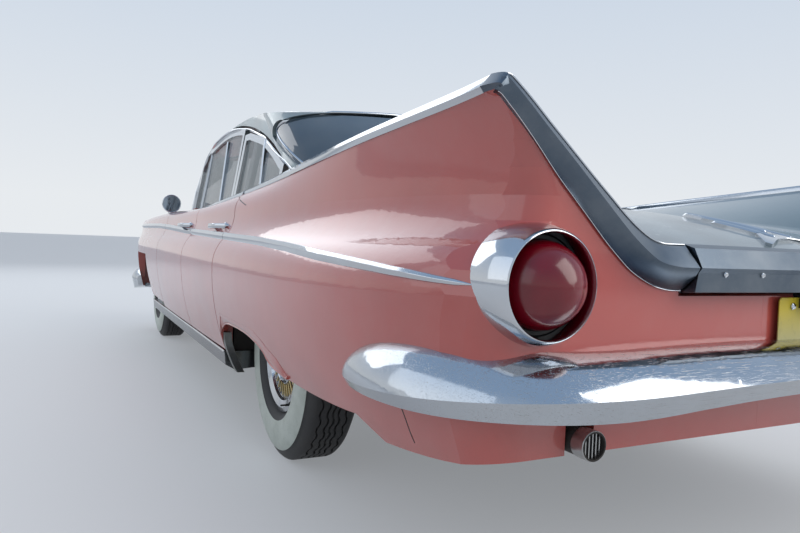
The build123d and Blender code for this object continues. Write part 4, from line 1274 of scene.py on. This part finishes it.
# door handles: (x of rear and front foot, z) of the bar; pads: the end they start from and their distance
handles = dict(door_front_left=(0.03, 0.235, 0.834), door_rear_left=(-0.775, -0.575, 0.824))
handleShape = dict(
    reach=0.04,
    tall=0.021,
    thick=0.011,
    squareness=0.75,
    rise=0.45,
    fall=0.72,
    pads=[("rear", 0.012), ("front", -0.008), ("rear", -0.026)],
    padProfiles=[
        [(-0.006, 0.001), (-0.006, 0.015), (0.002, 0.0155), (0.0045, 0.0135), (0.006, 0.001)],
        [(-0.006, 0.001), (-0.006, 0.013), (0.002, 0.0135), (0.0045, 0.0115), (0.006, 0.001)],
        [(-0.006, 0.001), (-0.006, 0.009), (0.009, 0.009), (0.012, 0.0075), (0.0125, 0.001)],
    ],
)


def handleLift(t):
    # height of the bar above the door, from its rear foot (0) to its front foot (1)
    rise, fall = handleShape["rise"], handleShape["fall"]
    lift = handleShape["reach"] * (math.sin(math.pi * min(t * 2.2, 1) / 2) if t < rise else 1.0)
    if t > fall:
        lift *= math.cos(math.pi / 2 * (t - fall) / (1 - fall)) ** 0.55 if t < 1 else 0.0
    return lift


def makeHandles():
    tall, thick, power = (handleShape[key] for key in ("tall", "thick", "squareness"))
    outline = [(u * tall / 2, v * thick / 2) for u, v in squarish(14, power, power)]
    for body, (rear, front, z) in handles.items():
        path = []
        for t in [i / 24 for i in range(25)]:
            place, facing = onSide(rear + (front - rear) * t, z)
            path.append((Vector((place.x, place.y + handleLift(t) - 0.002, z)), Vector((0, 1, 0))))
        ends, pads = dict(rear=rear, front=front), []
        for (end, shift), profile in zip(handleShape["pads"], handleShape["padProfiles"]):
            x = ends[end] + shift
            pads.append(turnedRing(profile, (x, onSide(x, z)[0].y, z), "Y", 20))
        name = "handleFront" if "front" in body else "handleRear"
        addPair(name, joined(sweep(path, outline), *pads), [chrome], body)


makeHandles()

# rim and glass of the round mirror on the driver's fender; the glass colour is a painted reflection
mirror = dict(
    centre=(1.1225, 0.9, 0.988),
    rim=[
        (0.004, 0.054), (-0.003, 0.0545), (-0.0045, 0.0565), (-0.003, 0.059), (0.003, 0.0598),
        (0.006, 0.058),
    ],
    disc=[(0.003, 0.0005), (-0.0012, 0.0005), (-0.001, 0.03), (-0.0004, 0.055), (0.003, 0.0552)],
)


def makeMirror():
    rim, disc = (turnedRing(mirror[part], mirror["centre"], "X", 64) for part in ("rim", "disc"))
    finishPiece("mirrorRim", rim, [chrome])
    finishPiece("mirrorGlass", disc, [mirrorGlass], "body")


makeMirror()
print("bars, handles and mirror made")

# number plate without characters, with its lamp and bolts, and the clips of the moulding above
plate = dict(
    x=-2.6105,
    half=0.1525,
    low=0.538,
    high=0.69,
    corner=0.008,
    thick=0.0022,
    bevel=0.0008,
    lampHalf=0.085,
    lampSteps=[(0, 0.75), (0.15, 1), (0.85, 1), (1, 0.75)],
    lampSection=[(-2.62, 0.664), (-2.636, 0.672), (-2.64, 0.684), (-2.634, 0.694), (-2.598, 0.699)],
    lampFoot=(-2.598, 0.664),
    lampRise=0.004,
    bolt=[(0.004, 0.0005), (0.004, 0.0075), (-0.0035, 0.0075), (-0.0055, 0.0055), (-0.006, 0.0005)],
    boltPlaces=[(-0.108, 0.672), (-0.108, 0.556), (0.108, 0.672), (0.108, 0.556)],
    clip=[(0.006, 0.0005), (0.006, 0.006), (-0.002, 0.006), (-0.004, 0.004), (-0.0045, 0.0005)],
    clipPlaces=[(-0.368, 0.74), (-0.254, 0.74), (0.254, 0.74), (0.368, 0.74)],
    clipX=-2.64,
)


def makePlate():
    out, radius, thick = Vector((-1, 0, 0)), plate["corner"], plate["thick"]
    side, upper, lower = plate["half"] - radius, plate["high"] - radius, plate["low"] + radius
    corners = []
    for cy, cz, start in ((side, upper, 0), (-side, upper, 90), (-side, lower, 180), (side, lower, 270)):
        for k in range(6):
            angle = math.radians(start + 18 * k)
            spot = Vector((plate["x"], cy + radius * math.cos(angle), cz + radius * math.sin(angle)))
            corners.append((spot, out))
    rim = tube([p + out * thick for p, facing in corners], 0.0012, 6, closed=True)
    finishPiece("plateBlank", slab(corners, thick, plate["bevel"]), [plateFace], "body")
    finishPiece("plateRim", rim, [plateFace], "body")
    box = []
    for t, size in plate["lampSteps"]:
        (x, z), *others = plate["lampSection"]
        section = [plate["lampFoot"], (x, z + plate["lampRise"] / size), *others]
        box.append([(x, plate["lampHalf"] * (2 * t - 1), z) for x, z in section])
    finishPiece("plateLampHousing", skin(box), [blackTrim], "body")
    bolts = [turnedRing(plate["bolt"], (plate["x"] - thick, y, z), "X", 18) for y, z in plate["boltPlaces"]]
    finishPiece("plateBolts", joined(*bolts), [chrome])
    clips = [turnedRing(plate["clip"], (plate["clipX"], y, z), "X", 14) for y, z in plate["clipPlaces"]]
    finishPiece("trunkMouldingClips", joined(*clips), [chrome], "trunk")


makePlate()

# generic ornament on the trunk lid: three slim bars, (x, y), widths and height, and a swept wing, (x, y)
deckOrnament = dict(
    bars=[
        dict(
            line=[(-2.22, 0.004), (-2.3, 0.006), (-2.4, 0.006), (-2.475, 0.004)],
            wide=[0.004, 0.014, 0.018, 0.015],
            high=0.013,
        ),
        dict(
            line=[(-2.34, 0.034), (-2.4, 0.036), (-2.46, 0.034), (-2.515, 0.03)],
            wide=[0.01, 0.014, 0.014, 0.01],
            high=0.011,
        ),
        dict(
            line=[(-2.34, -0.034), (-2.4, -0.036), (-2.46, -0.034), (-2.515, -0.03)],
            wide=[0.01, 0.014, 0.014, 0.01],
            high=0.011,
        ),
    ],
    section=[(-0.5, -0.2), (-0.5, 0.5), (-0.3, 0.9), (0.0, 1.0), (0.3, 0.9), (0.5, 0.5), (0.5, -0.2)],
    wing=[(-2.445, 0.0), (-2.47, 0.045), (-2.545, 0.115), (-2.56, 0.112), (-2.528, 0.05), (-2.522, 0.0)],
)


def onDeck(x, y, lift=0.0):
    place, facing = castTo(deckTree, (x, y, 1.4), (0, 0, -1))
    return place + facing * lift, facing


def makeOrnament():
    parts, side = [], Vector((0, 1, 0))
    for bar in deckOrnament["bars"]:
        line = curveThrough([(x, y, 0) for x, y in bar["line"]], 16)
        rows = []
        for i, point in enumerate(line):
            place, facing = onDeck(point.x, point.y)
            wide = between(enumerate(bar["wide"]), i / (len(line) - 1) * (len(bar["wide"]) - 1))
            high = bar["high"] * (0.35 if i in (0, len(line) - 1) else 1)
            rows.append([
                place + side * (u * wide) + facing * (v * high) for u, v in deckOrnament["section"]
            ])
        parts.append(skin(rows))
    outline = deckOrnament["wing"] + [(x, -y) for x, y in reversed(deckOrnament["wing"]) if y > 0]
    base = [onDeck(x, y, -0.001)[0] for x, y in outline]
    top = [onDeck(x, y, 0.007)[0] for x, y in outline]
    centre = sum(top, Vector()) / len(top)
    ridge = [p + (centre - p) * 0.12 + Vector((0, 0, 0.0025)) for p in top]
    parts.append(skin([base, top, ridge]))
    finishPiece("deckOrnament", joined(*parts), [chrome], "trunk", angle=25)


makeOrnament()
print("plate and ornament made")

# tailpipe tips: (distance along, radius) of the rolled rim, and upright louvres
tailPipe = dict(
    centre=(-2.6385, 0.69, 0.428),
    rim=[
        (0.03, 0.0282), (0.0, 0.0284), (-0.0012, 0.0275), (-0.0014, 0.0255), (0.0, 0.0243), (0.03, 0.0241)
    ],
    louvres=[-0.016, -0.008, 0.0, 0.008, 0.016],
    louvreReach=0.024,
    louvre=[(0.004, -0.0012), (0.004, 0.0012), (0.016, 0.003), (0.016, 0.0006)],
)


def makePipeTips():
    cx, cy, cz = tailPipe["centre"]
    addPair("tailpipeTips", turnedRing(tailPipe["rim"], tailPipe["centre"], "X", 48), [sootyChrome])
    louvres = []
    for offset in tailPipe["louvres"]:
        half = math.sqrt(tailPipe["louvreReach"] ** 2 - offset**2)
        levels = [cz + half * t for t in (-1, -0.5, 0, 0.5, 1)]
        rows = [[(cx + dx, cy + offset + dy, z) for dx, dy in tailPipe["louvre"]] for z in levels]
        louvres.append(skin(rows))
    addPair("tailpipeLouvres", joined(*louvres), [sootyChrome])


makePipeTips()

# rolled lip round the top of the rear wheel opening: (x, y, z), with the swell of its flange (how far out,
# height); stone guard at its front: (x, y, z)
archLip = dict(
    line=[
        (-0.8691, 0.972, 0.3948), (-0.8947, 0.977, 0.422), (-0.9577, 0.98, 0.4457), (-1.0257, 0.982, 0.456),
        (-1.0997, 0.984, 0.4597), (-1.207, 0.984, 0.4609), (-1.3065, 0.984, 0.4586),
        (-1.4021, 0.982, 0.4488), (-1.4921, 0.978, 0.4304), (-1.5336, 0.974, 0.4091),
        (-1.5623, 0.968, 0.3863), (-1.6308, 0.962, 0.3584), (-1.7054, 0.955, 0.3414),
        (-1.8088, 0.952, 0.3471), (-1.9048, 0.952, 0.3556),
    ],
    guard=[
        (-0.868, 0.972, 0.404), (-0.871, 0.966, 0.36), (-0.886, 0.955, 0.32), (-0.918, 0.945, 0.285),
        (-0.96, 0.938, 0.262),
    ],
    guardSize=(0.026, 0.03),
    centre=(-1.23, 0, 0.36),
    swell=[(0.05, 0.0035), (0.18, 0.005), (0.4, 0.0045), (0.75, 0.0018)],
    overlap=0.01,
    fade=16,
    fadeTo=0.93,
    rollRadius=0.0048,
)


def ontoQuarter(quarter, spot):
    # place and outward direction on the left quarter panel, none beside it
    place, facing, index, reach = quarter.ray_cast(Vector((spot.x, 1.4, spot.z)), Vector((0, -1, 0)))
    return (place, facing) if place and place.y > 0.9 else (None, None)


def makeArchLips():
    quarter = meshTree("quarter_left")
    line = curveThrough(archLip["line"], 70)
    pairs, rows, roll = [], [], []
    for i, inner in enumerate(line):
        along = line[min(i + 1, len(line) - 1)] - line[max(i - 1, 0)]
        out = Vector((along.z, 0, -along.x)).normalized()
        if out.dot(Vector((inner.x, 0, inner.z)) - Vector(archLip["centre"])) < 0:
            out = -out
        outer = None
        for step in range(40):  # outward to the panel, then a little over it
            spot = inner + out * (0.003 * step)
            if ontoQuarter(quarter, spot)[0]:
                place, facing = ontoQuarter(quarter, spot + out * archLip["overlap"])
                outer = place + facing * 0.0006 if place else None
                break
        if outer:
            pairs.append((inner, outer))
        elif len(pairs) > 20:
            break
    side = Vector((0, 1, 0))
    for i, (inner, outer) in enumerate(pairs):
        late = max(0.0, 1 - (len(pairs) - 1 - i) / archLip["fade"])
        edge = inner.lerp(outer, archLip["fadeTo"] * late**1.6)
        swell = [edge.lerp(outer, t) + side * high for t, high in archLip["swell"]]
        rows.append([edge - side * 0.022, edge, *swell, outer, outer - side * 0.01])
        roll.append(edge + side * 0.0015)
    addPair("archRoll", tube(roll, archLip["rollRadius"], 8), [coral], "body")
    addPair("archLipRear", skin(rows), [coral], "body")
    along, across = archLip["guardSize"]
    corners = [Vector(p) for p in ((0, 0, 0), (along, 0.002, 0), (along, across, 0), (0, across, 0))]
    rows = [[p - corner for corner in corners] for p in curveThrough(archLip["guard"], 16)]
    addPair("stoneGuards", skin(rows), [guardSteel], "body", angle=30)


makeArchLips()

# thin dark joints on the body side, (x, z), and the bright bead along the sill
seams = dict(
    valance=[(-2.367, 0.452), (-2.376, 0.43), (-2.382, 0.408), (-2.392, 0.388)],
    fin=[(-0.819, 0.945), (-0.9, 0.925), (-1.02, 0.901)],
    step=0.012,
    width=0.0035,
    height=0.0008,
)
sillBead = dict(rear=-0.86, front=1.44, step=0.06, y=0.9595, z=0.3235, radius=0.0045)


def makeSeams():
    section = rounded(seams["width"], seams["height"])
    valance, fin = (
        evenLine(line, seams["step"]) for line in (smoothLine(seams["valance"], 2), seams["fin"])
    )
    addPair("valanceSeams", sweep(sidePath(valance), section), [blackTrim], "body")
    places = stations(sillBead["rear"], sillBead["front"], sillBead["step"])
    bead = [Vector((x, sillBead["y"], sillBead["z"])) for x in places]
    addPair("sillBeads", tube(bead, sillBead["radius"], 8), [chrome])
    addPair("finSeams", sweep(sidePath(fin), section), [blackTrim], "body")


makeSeams()
print("pipes, lips and seams made")

# bench seats, each a cushion (rear, front, low, high), a back (x, z of its four corners) and a base
benches = dict(
    front=dict(
        half=0.632,
        cushion=(0.006, 0.492, 0.448, 0.566),
        back=((-0.135, 0.455), (-0.038, 0.545), (-0.125, 0.898), (-0.178, 0.898)),
        backThick=0.07,
        base=(-0.06, 0.42, 0.318, 0.446),
    ),
    rear=dict(
        half=0.582,
        cushion=(-0.895, -0.548, 0.432, 0.572),
        back=((-1.034, 0.432), (-0.912, 0.548), (-0.97, 0.852), (-1.034, 0.852)),
        backThick=0.082,
        base=(-1.0, -0.6, 0.318, 0.431),
    ),
)
# sewing and shape of the pads, and the bases below them
sewing = dict(
    pleat=0.085,
    depth=0.007,
    groove=0.008,
    crown=0.016,
    corner=0.045,
    border=0.075,
    piping=0.003,
    pipingEnd=0.012,
)
padShape = dict(lift=0.03, sink=0.016, stations=150, around=44, longPower=0.42, deepPower=0.5, fill=0.75)
seatBase = dict(inset=0.045, swell=0.004, footEdge=0.01, topEdge=0.02, around=32, squareness=0.3)


def pleatDip(y, half):
    # depth of the sewn channels at one place across the bench
    if abs(y) > half - sewing["border"]:
        return 0.0
    nearest = round(y / sewing["pleat"]) * sewing["pleat"]
    edge = min(abs(y - nearest), abs(abs(y) - (half - sewing["border"])))
    return sewing["depth"] * math.exp(-((edge / sewing["groove"]) ** 2))


def padSection(low, high, thick, y, half):
    # closed outline of a pad in its own plane: along it and through it, crowned between its seams
    ends = max(0.0, (abs(y) - (half - sewing["corner"])) / sewing["corner"])
    full = (1 - ends**2.6) ** (1 / 2.6) if ends < 1 else 0.0
    crown = sewing["crown"] * (1 - (y / half) ** 4 * 0.25)
    long, middle = high - low, (high + low) / 2
    points = []
    for a, b in squarish(padShape["around"], padShape["longPower"], padShape["deepPower"]):
        deep = b * thick / 2 * (0.35 + 0.65 * full)
        if b > 0:
            deep += crown * (1 - a * a) * full
        if b > 0.2:
            deep -= pleatDip(y, half) * (1 - a**8)
        points.append((middle + a * long / 2 * (0.8 + 0.2 * full), deep))
    return points


def makePad(name, place, low, high, thick, half):
    # place turns (along, through, across) into a point
    rows, count = [], padShape["stations"]
    for y in [half * (2 * i / count - 1) for i in range(count + 1)]:
        rows.append([place(a, t, y) for a, t in padSection(low, high, thick, y * 0.9995, half)])
    border = half - sewing["border"]
    piece = finishPiece(
        name,
        skin(rows),
        [seatCloth, seatVinyl],
        "body",
        angle=60,
        pick=lambda middle: 1 if abs(middle.y) > border else 0,
    )
    return piece


def makeSeatBase(name, base, half):
    x0, x1, z0, z1 = base
    rows, swell, power = [], seatBase["swell"], seatBase["squareness"]
    levels = [(z0, 0.0), (z0 + seatBase["footEdge"], swell), (z1 - seatBase["topEdge"], swell), (z1, 0.0)]
    for z, grow in levels:
        hx, hy = (x1 - x0) / 2 + grow, half - seatBase["inset"] + grow
        outline = squarish(seatBase["around"], power, power)
        rows.append([((x0 + x1) / 2 + u * hx, v * hy, z) for u, v in outline])
    finishPiece(name, skin(rows), [seatVinyl], "body")


def makeBenches():
    for name, seat in benches.items():
        x0, x1, z0, z1 = seat["cushion"]
        half, thick = seat["half"], z1 - z0 - padShape["lift"]

        def cushionPlace(a, t, y, x0=x0, x1=x1, z0=z0, z1=z1):
            rise = (a - x0) * padShape["lift"] / (x1 - x0)
            return Vector((a, y, (z0 + z1) / 2 - padShape["sink"] + t + rise))

        makePad(name + "Cushion", cushionPlace, x0, x1, thick, half)
        (bx, bz), (fx, fz), (tx, _), (rx, rz) = seat["back"]
        foot = Vector(((bx + fx) / 2, 0, (bz + fz) / 2 - 0.004))
        top = Vector(((tx + rx) / 2, 0, rz - 0.004))
        along = (top - foot).normalized()
        out = Vector((along.z, 0, -along.x))

        def backPlace(a, t, y, foot=foot, along=along, out=out):
            return foot + along * a + out * t + Vector((0, y, 0))

        makePad(name + "Backrest", backPlace, 0.0, (top - foot).length, seat["backThick"], half)
        makeSeatBase(name + "SeatBase", seat["base"], half)
        piping = []
        for y in (sewing["border"] - half, half - sewing["border"]):
            upper = [p for p in padSection(x0, x1, thick, y, half) if p[1] > 0]
            line = []
            for k in range(15):
                a = x0 + sewing["pipingEnd"] + (x1 - x0 - 2 * sewing["pipingEnd"]) * k / 14
                t = min(upper, key=lambda p: abs(p[0] - a))[1]
                line.append(cushionPlace(a, t * (1 - abs(2 * k / 14 - 1) ** 8 * 0.35), y))
            piping.append(tube(line, sewing["piping"], 6))
        finishPiece(name + "Piping", joined(*piping), [seatVinyl], "body")
    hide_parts("seats")


makeBenches()
print("benches made")

# door cards (rear, front, low, high) with armrests and winders, all on the inner side of the doors
doorCards = dict(door_front_left=(0.0, 0.8, 0.36, 0.885), door_rear_left=(-0.66, -0.14, 0.36, 0.885))
cardShape = dict(
    columns=26,
    levels=18,
    thick=0.008,
    usualY=0.84,
    flutes=(0.42, 0.62),
    fluteDepth=0.0025,
    band=(0.66, 0.7),
    bandDepth=0.004,
)
# section of an armrest: how far from the card and how high, each with the part that grows to its middle
armrest = dict(
    half=0.16,
    z=0.68,
    steps=24,
    section=[
        (0.004, 0.0, 0.66, -0.02), (0.006, 0.045, 0.662, -0.016), (0.006, 0.062, 0.678, 0.0),
        (0.006, 0.052, 0.678, 0.018), (0.004, 0.0, 0.68, 0.022),
    ],
)
winder = dict(
    ahead=dict(Front=0.24, Rear=0.14),
    z=0.6,
    knob=[(0.0, 0.001), (0.0, 0.02), (-0.006, 0.021), (-0.01, 0.018), (-0.012, 0.001)],
    arm=[(0, -0.01, 0), (-0.03, -0.018, -0.03), (-0.062, -0.02, -0.062)],
    armRadius=0.0065,
    ball=[(0.0, 0.001), (-0.002, 0.009), (-0.014, 0.012), (-0.022, 0.009), (-0.024, 0.001)],
)


def insideFace(tree, x, z):
    # distance across of a door's inner face
    place, facing, index, reach = tree.ray_cast(Vector((x, 0.3, z)), Vector((0, 1, 0)))
    return place.y if place else None


def cardRow(tree, x, z, i):
    # the outer and inner place of the card at one spot
    y = insideFace(tree, x, z)
    y = y if y and 0.6 < y < 0.9 else cardShape["usualY"]
    (fluteLow, fluteHigh), (bandLow, bandHigh) = cardShape["flutes"], cardShape["band"]
    flute = cardShape["fluteDepth"] * math.cos(math.pi * i) if fluteLow < z < fluteHigh else 0.0
    band = cardShape["bandDepth"] if bandLow < z < bandHigh else 0
    return Vector((x, y - 0.001, z)), Vector((x, y - 0.001 - cardShape["thick"] - flute - band, z))


def makeDoorCards():
    for body, (x0, x1, z0, z1) in doorCards.items():
        tree = meshTree(body)
        label = "Front" if "front" in body else "Rear"
        columns, levels = cardShape["columns"], cardShape["levels"]
        rows = []
        for j in range(levels + 1):
            z = z0 + (z1 - z0) * j / levels
            pairs = [cardRow(tree, x0 + (x1 - x0) * i / columns, z, i) for i in range(columns + 1)]
            rows.append([outer for outer, inner in pairs] + [inner for outer, inner in reversed(pairs)])
        addPair("doorCard" + label, skin(rows), [cardVinyl], body, angle=50)
        middle = (x0 + x1) / 2
        wall = insideFace(tree, middle, armrest["z"]) or cardShape["usualY"]
        rest = []
        for k in range(armrest["steps"] + 1):
            t = k / armrest["steps"]
            size = (1 - abs(2 * t - 1) ** 5) ** 0.5 if 0 < t < 1 else 0.08
            x = middle + armrest["half"] * (2 * t - 1)
            rest.append([
                (x, wall - out * size - gap, z + rise * size) for gap, out, z, rise in armrest["section"]
            ])
        addPair("armrest" + label, skin(rest), [seatVinyl], body, angle=50)
        crank = Vector((middle + winder["ahead"][label], wall - 0.01, winder["z"]))
        arm = [crank + Vector(p) for p in winder["arm"]]
        knob = turnedRing(winder["knob"], crank, "Y", 24)
        ball = turnedRing(winder["ball"], arm[-1], "Y", 18)
        addPair("winder" + label, joined(knob, tube(arm, winder["armRadius"], 10), ball), [chrome], body)


makeDoorCards()
print("door cards made")

# steering wheel trim: horn ring, button with its (distance back, radius) and grips on the rim
wheelCentre = Vector((0.6, 0.38, 0.81))
wheelAxis = Vector((math.cos(math.radians(24)), 0, -math.sin(math.radians(24))))
wheelUp = Vector((-wheelAxis.z, 0, wheelAxis.x))
wheelTrim = dict(
    ring=(0.118, 0.01),
    ringRadius=0.0045,
    arm=[(0.04, 0.012), (0.08, 0.016), (0.118, 0.01)],
    armRadius=0.006,
    button=[
        (0.0, 0.047), (0.006, 0.048), (0.012, 0.045), (0.016, 0.036), (0.017, 0.026), (0.0205, 0.024),
        (0.0225, 0.018), (0.023, 0.002),
    ],
    grips=[0.3, 1.87, 3.44, 5.01],
    gripStep=0.055,
    gripRadii=(0.2, 0.0128, 0.0014),
)


def onWheel(radius, angle, back=0.0):
    side = Vector((0, 1, 0))
    return wheelCentre + (side * math.cos(angle) + wheelUp * math.sin(angle)) * radius - wheelAxis * back


def makeWheelTrim():
    radius, back = wheelTrim["ring"]
    ring = tube([onWheel(radius, a, back) for a in fullTurn(72)], wheelTrim["ringRadius"], 10, closed=True)
    arms = [
        tube([onWheel(r, a, b) for r, b in wheelTrim["arm"]], wheelTrim["armRadius"], 10)
        for a in (0.0, math.pi)
    ]
    finishPiece("hornRing", joined(ring, *arms), [chrome], "steering_wheel")
    rows = [[onWheel(radius, a, back) for a in fullTurn(40)] for back, radius in wheelTrim["button"]]
    finishPiece("hornButton", skin(rows), [chrome], "steering_wheel")
    rim, thick, bead = wheelTrim["gripRadii"]
    grips = []
    for start in wheelTrim["grips"]:
        for k in range(9):
            angle = start + wheelTrim["gripStep"] * k
            grip = [onWheel(rim + thick * math.cos(a), angle, thick * math.sin(a)) for a in fullTurn(12)]
            grips.append(tube(grip, bead, 5, closed=True))
    finishPiece("wheelGrips", joined(*grips), [wheelPlastic], "steering_wheel")


makeWheelTrim()

# instruments: frame (distance back, growth), dials, knobs and the bright strip above
instruments = dict(
    x=0.912,
    z=0.8,
    y=0.38,
    wide=0.3,
    tall=0.07,
    frame=[(0.012, -0.004), (-0.004, 0.0), (-0.01, -0.004), (-0.01, -0.01), (0.004, -0.012)],
    dials=[0.28, 0.345, 0.415, 0.48],
    dial=[(0.004, 0.0005), (-0.0035, 0.0005), (-0.0035, 0.02), (0.004, 0.021)],
    knobs=[-0.12, -0.04, 0.04, 0.12, 0.6],
    knobX=0.905,
    knobZ=0.775,
    knob=[
        (0.012, 0.001), (0.012, 0.006), (-0.004, 0.006), (-0.006, 0.011), (-0.014, 0.011), (-0.017, 0.001)
    ],
    strip=(0.9185, 0.66, 0.862),
    stripRadius=0.005,
)


def makeInstruments():
    look = instruments
    rows = []
    for depth, grow in look["frame"]:
        wide, tall = look["wide"] / 2 + grow, look["tall"] / 2 + grow
        places = [(look["y"] + u * wide, look["z"] + v * tall) for u, v in squarish(40, 0.4, 0.5)]
        rows.append([(look["x"] + depth, y, z) for y, z in places])
    finishPiece("instrumentFrame", skin(rows), [chrome], "body")
    dials = [turnedRing(look["dial"], (look["x"], y, look["z"]), "X", 28) for y in look["dials"]]
    finishPiece("instrumentDials", joined(*dials), [dialFace], "body")
    knobs = [turnedRing(look["knob"], (look["knobX"], y, look["knobZ"]), "X", 20) for y in look["knobs"]]
    finishPiece("dashKnobs", joined(*knobs), [chrome], "body")
    x, half, z = look["strip"]
    strip = [(x, -half + half * k / 12, z) for k in range(25)]
    finishPiece("dashStrip", tube(strip, look["stripRadius"], 8), [chrome], "body")


makeInstruments()
print("interior trim made")

# pale floor and surround, and soft lights (size, watts, place, target, colour)
stageLook = dict(
    floor=(0.48, 0.5, 0.52),
    floorGlow=(0.24, 0.25, 0.262),
    horizon=(0.8, 0.83, 0.86),
    zenith=(0.36, 0.5, 0.7),
    fill=(0.8, 0.87, 1.0),
    fillStrength=0.46,
)
lights = dict(
    keyLight=((9, 9), 780, (-9.0, -5.5, 7.5), (-2.0, 0, 0.6), (1.0, 0.96, 0.9)),
    sideLight=((14, 7), 170, (-0.5, 10.0, 5.0), (-0.5, 0, 0.6), (0.93, 0.97, 1.0)),
    frontLight=((12, 6), 330, (10.0, 2.0, 7.0), (1, 0, 0.5), (1, 1, 1)),
)


def seenDirectly(tree):
    # 1 for camera, glossy and transmission rays
    path = node(tree, "ShaderNodeLightPath").outputs
    bounced = larger(tree, path["Is Glossy Ray"], path["Is Transmission Ray"])
    return larger(tree, path["Is Camera Ray"], bounced)


def makeStage():
    bpy.ops.mesh.primitive_plane_add(size=400)
    floor = bpy.context.object
    floor.name = "floor"
    material, tree = newMaterial("floorPale")
    glow = mixColour(tree, seenDirectly(tree), (0, 0, 0), stageLook["floorGlow"])
    setShader(tree, BaseColor=stageLook["floor"], Roughness=0.75, EmissionColor=glow, EmissionStrength=1.0)
    floor.data.materials.append(material)
    world = bpy.data.worlds.new("surround")
    bpy.context.scene.world = world
    world.use_nodes = True
    tree = world.node_tree
    background = next(n for n in tree.nodes if n.type == "BACKGROUND")
    seen = seenDirectly(tree)
    direction = node(tree, "ShaderNodeTexCoord").outputs["Generated"]
    height = split(tree, direction)["Z"]
    sky = mixColour(tree, spread(tree, height, 0.05, 0.75), stageLook["horizon"], stageLook["zenith"])
    plug(tree, mixColour(tree, seen, stageLook["fill"], sky), background.inputs["Color"])
    plug(tree, mixValue(tree, seen, stageLook["fillStrength"], 1.0), background.inputs["Strength"])


def addLight(name, size, energy, place, target, colour):
    data = bpy.data.lights.new(name, "AREA")
    data.shape = "RECTANGLE"
    data.size, data.size_y = size
    data.energy = energy
    data.color = colour
    lamp = bpy.data.objects.new(name, data)
    bpy.context.scene.collection.objects.link(lamp)
    lamp.location = place
    lamp.rotation_euler = (Vector(target) - Vector(place)).to_track_quat("-Z", "Y").to_euler()


makeStage()
for name, light in lights.items():
    addLight(name, *light)
print("stage and lights made")
